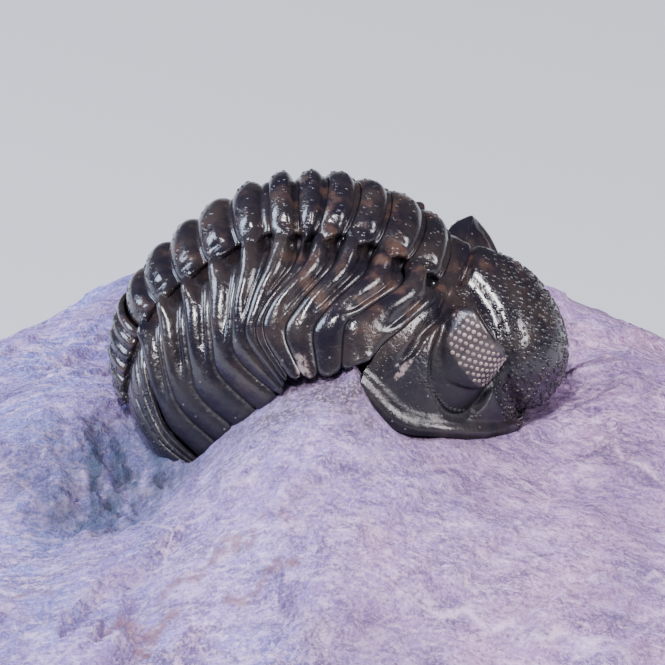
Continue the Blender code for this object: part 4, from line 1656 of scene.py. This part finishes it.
@dataclass
class Studio:
    """The camera, the floor and the lamps."""

    target: tuple[float, float, float] = (-0.00057, 0.00445, 0.028)
    elevation: float = math.radians(24.0)
    view_width: float = 0.04655
    lens: float = 600.0
    sensor: float = 36.0
    floor_tone: tuple[float, ...] = colour(0.55, 0.55, 0.56)
    world_tone: tuple[float, ...] = colour(0.88, 0.87, 0.96)
    world_strength: float = 0.06
    lamp_distance: float = 0.5
    lamps: tuple[tuple[Any, ...], ...] = (
        ("key", -12, 52, (0.08, 0.13), 3.75, (1.0, 0.97, 1.0)),
        ("fill_right", 66, 30, (0.16, 0.2), 2.4, (1.0, 0.96, 1.0)),
        ("rim_left", -96, 32, (0.34, 0.26), 5.5, (0.66, 0.77, 1.0)),
    )

    def camera(self) -> None:
        """Looks along +Y and down, as the photograph does."""
        data = bpy.data.cameras.new("camera")
        data.lens = self.lens
        data.sensor_width = self.sensor
        data.clip_start = 0.005
        reach = self.view_width * self.lens / self.sensor
        back = Vector((0, -math.cos(self.elevation), math.sin(self.elevation)))
        made = bpy.data.objects.new("camera", data)
        made.location = Vector(self.target) + reach * back
        made.rotation_euler = (math.pi / 2 - self.elevation, 0, 0)
        bpy.context.scene.collection.objects.link(made)
        bpy.context.scene.camera = made

    def floor(self) -> None:
        """A plain pale floor."""
        mesh = bmesh.new()
        bmesh.ops.create_grid(mesh, x_segments=1, y_segments=1, size=3.0)
        data = bpy.data.meshes.new("floor")
        mesh.to_mesh(data)
        mesh.free()
        look = Finish("pale_floor")
        look.set(Base_Color=self.floor_tone, Roughness=0.9)
        data.materials.append(look.material)
        made = bpy.data.objects.new("floor", data)
        bpy.context.scene.collection.objects.link(made)

    def lamp(
        self, name: str, turn: float, height: float, size: tuple[float, float],
        power: float, tint: tuple[float, float, float],
    ) -> None:
        """A soft rectangular lamp aimed at the animal.

        Args:
            name: its name.
            turn: degrees round from the camera, to the right.
            height: degrees above the floor.
            size: its width and height in metres.
            power: its watts.
            tint: its colour.
        """
        data = bpy.data.lights.new(name, "AREA")
        data.shape = "RECTANGLE"
        data.size, data.size_y = size
        data.energy = power
        data.color = tint
        side, up = math.radians(turn), math.radians(height)
        level = math.cos(up)
        way = Vector((math.sin(side) * level, -math.cos(side) * level, math.sin(up)))
        made = bpy.data.objects.new(name, data)
        made.location = Vector(self.target) + self.lamp_distance * way
        made.rotation_euler = way.to_track_quat("Z", "Y").to_euler()
        bpy.context.scene.collection.objects.link(made)

    def build(self) -> None:
        """Everything that isn't the object."""
        self.camera()
        self.floor()
        for settings in self.lamps:
            self.lamp(*settings)
        world = bpy.data.worlds.new("studio")
        world.use_nodes = True
        background = world.node_tree.nodes["Background"]
        background.inputs["Color"].default_value = self.world_tone
        background.inputs["Strength"].default_value = self.world_strength
        bpy.context.scene.world = world


def warmth(points: Array) -> Array:
    """Where the shell is reddish brown: high on the flanks of the front segments.

    Args:
        points: places in the animal's frame, in millimetres.

    Returns:
        1 where it is, 0 where it isn't.
    """
    x, y, z = points.T
    flank = smooth(x, -8.0, 2.0) * smooth(z, AXIS_LEVEL + 3.0, AXIS_LEVEL + 7.0)
    crest = 0.45 * (1 - smooth(np.abs(y), 3.0, 5.0)) * (x < 6.0)
    return np.maximum(flank, crest)


def dull(points: Array) -> Array:
    """Where the shell is matte and darker in colour: low on the pleurae and the cheeks.

    Args:
        points: places in the animal's frame, in millimetres.

    Returns:
        1 where it has, 0 where it hasn't.
    """
    x, y, z = points.T
    rise = 2.2 * smooth(x, -3.0, 1.0)
    low = 1 - smooth(z - rise, AXIS_LEVEL - 1.5, AXIS_LEVEL + 1.5)
    return low * smooth(np.abs(y), 5.0, 6.5)


def wear_and_highlight(points: Array) -> Array:
    """Where the near side shows a tan scratch of wear across the cheek, and a painted highlight on
    a pleural tip.

    Args:
        points: places in the animal's frame, in millimetres.

    Returns:
        1 where it does, 0 where it doesn't.
    """
    out = np.zeros(len(points))
    for start, end, radius in WEAR_AND_HIGHLIGHT_LINES:
        start, way = np.array(start), np.array(end) - np.array(start)
        share = np.clip((points - start) @ way / (way @ way), 0, 1)
        gap = np.linalg.norm(points - start - share[:, None] * way, axis=1)
        out = np.maximum(out, 1 - smooth(gap, 0.5 * radius, radius))
    return out


def main() -> None:
    """Builds the studio, the rock and the animal in order."""
    logging.basicConfig(level=logging.INFO, format="%(message)s")
    Studio().build()
    shell = ShellFinish().build()
    surface = ShellSurface()
    head = Head()
    tail = Tail(surface)
    Rock(head, surface, tail).build(RockFinish().build())
    head.build(shell, LensFinish().build())
    for number in range(1, 12):
        Tergite(number, surface).build(shell)
    tail.build(shell)
    for made in bpy.data.objects:
        if made.get("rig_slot") == Slot.SHELL.value:
            mark(made, "warmth", warmth)
            mark(made, "dull", lambda points: dull(points) * (1 - head.on_rim(points)))
            mark(made, "wear_and_highlight", wear_and_highlight)
            mark(made, "eye", head.on_eye)
            # Painted shade in the trough below each eye, on pieces without their own furrow
            # attribute
            if "furrow" not in made.data.attributes:
                mark(made, "furrow", head.furrow_shade)


if __name__ == "__main__":
    main()
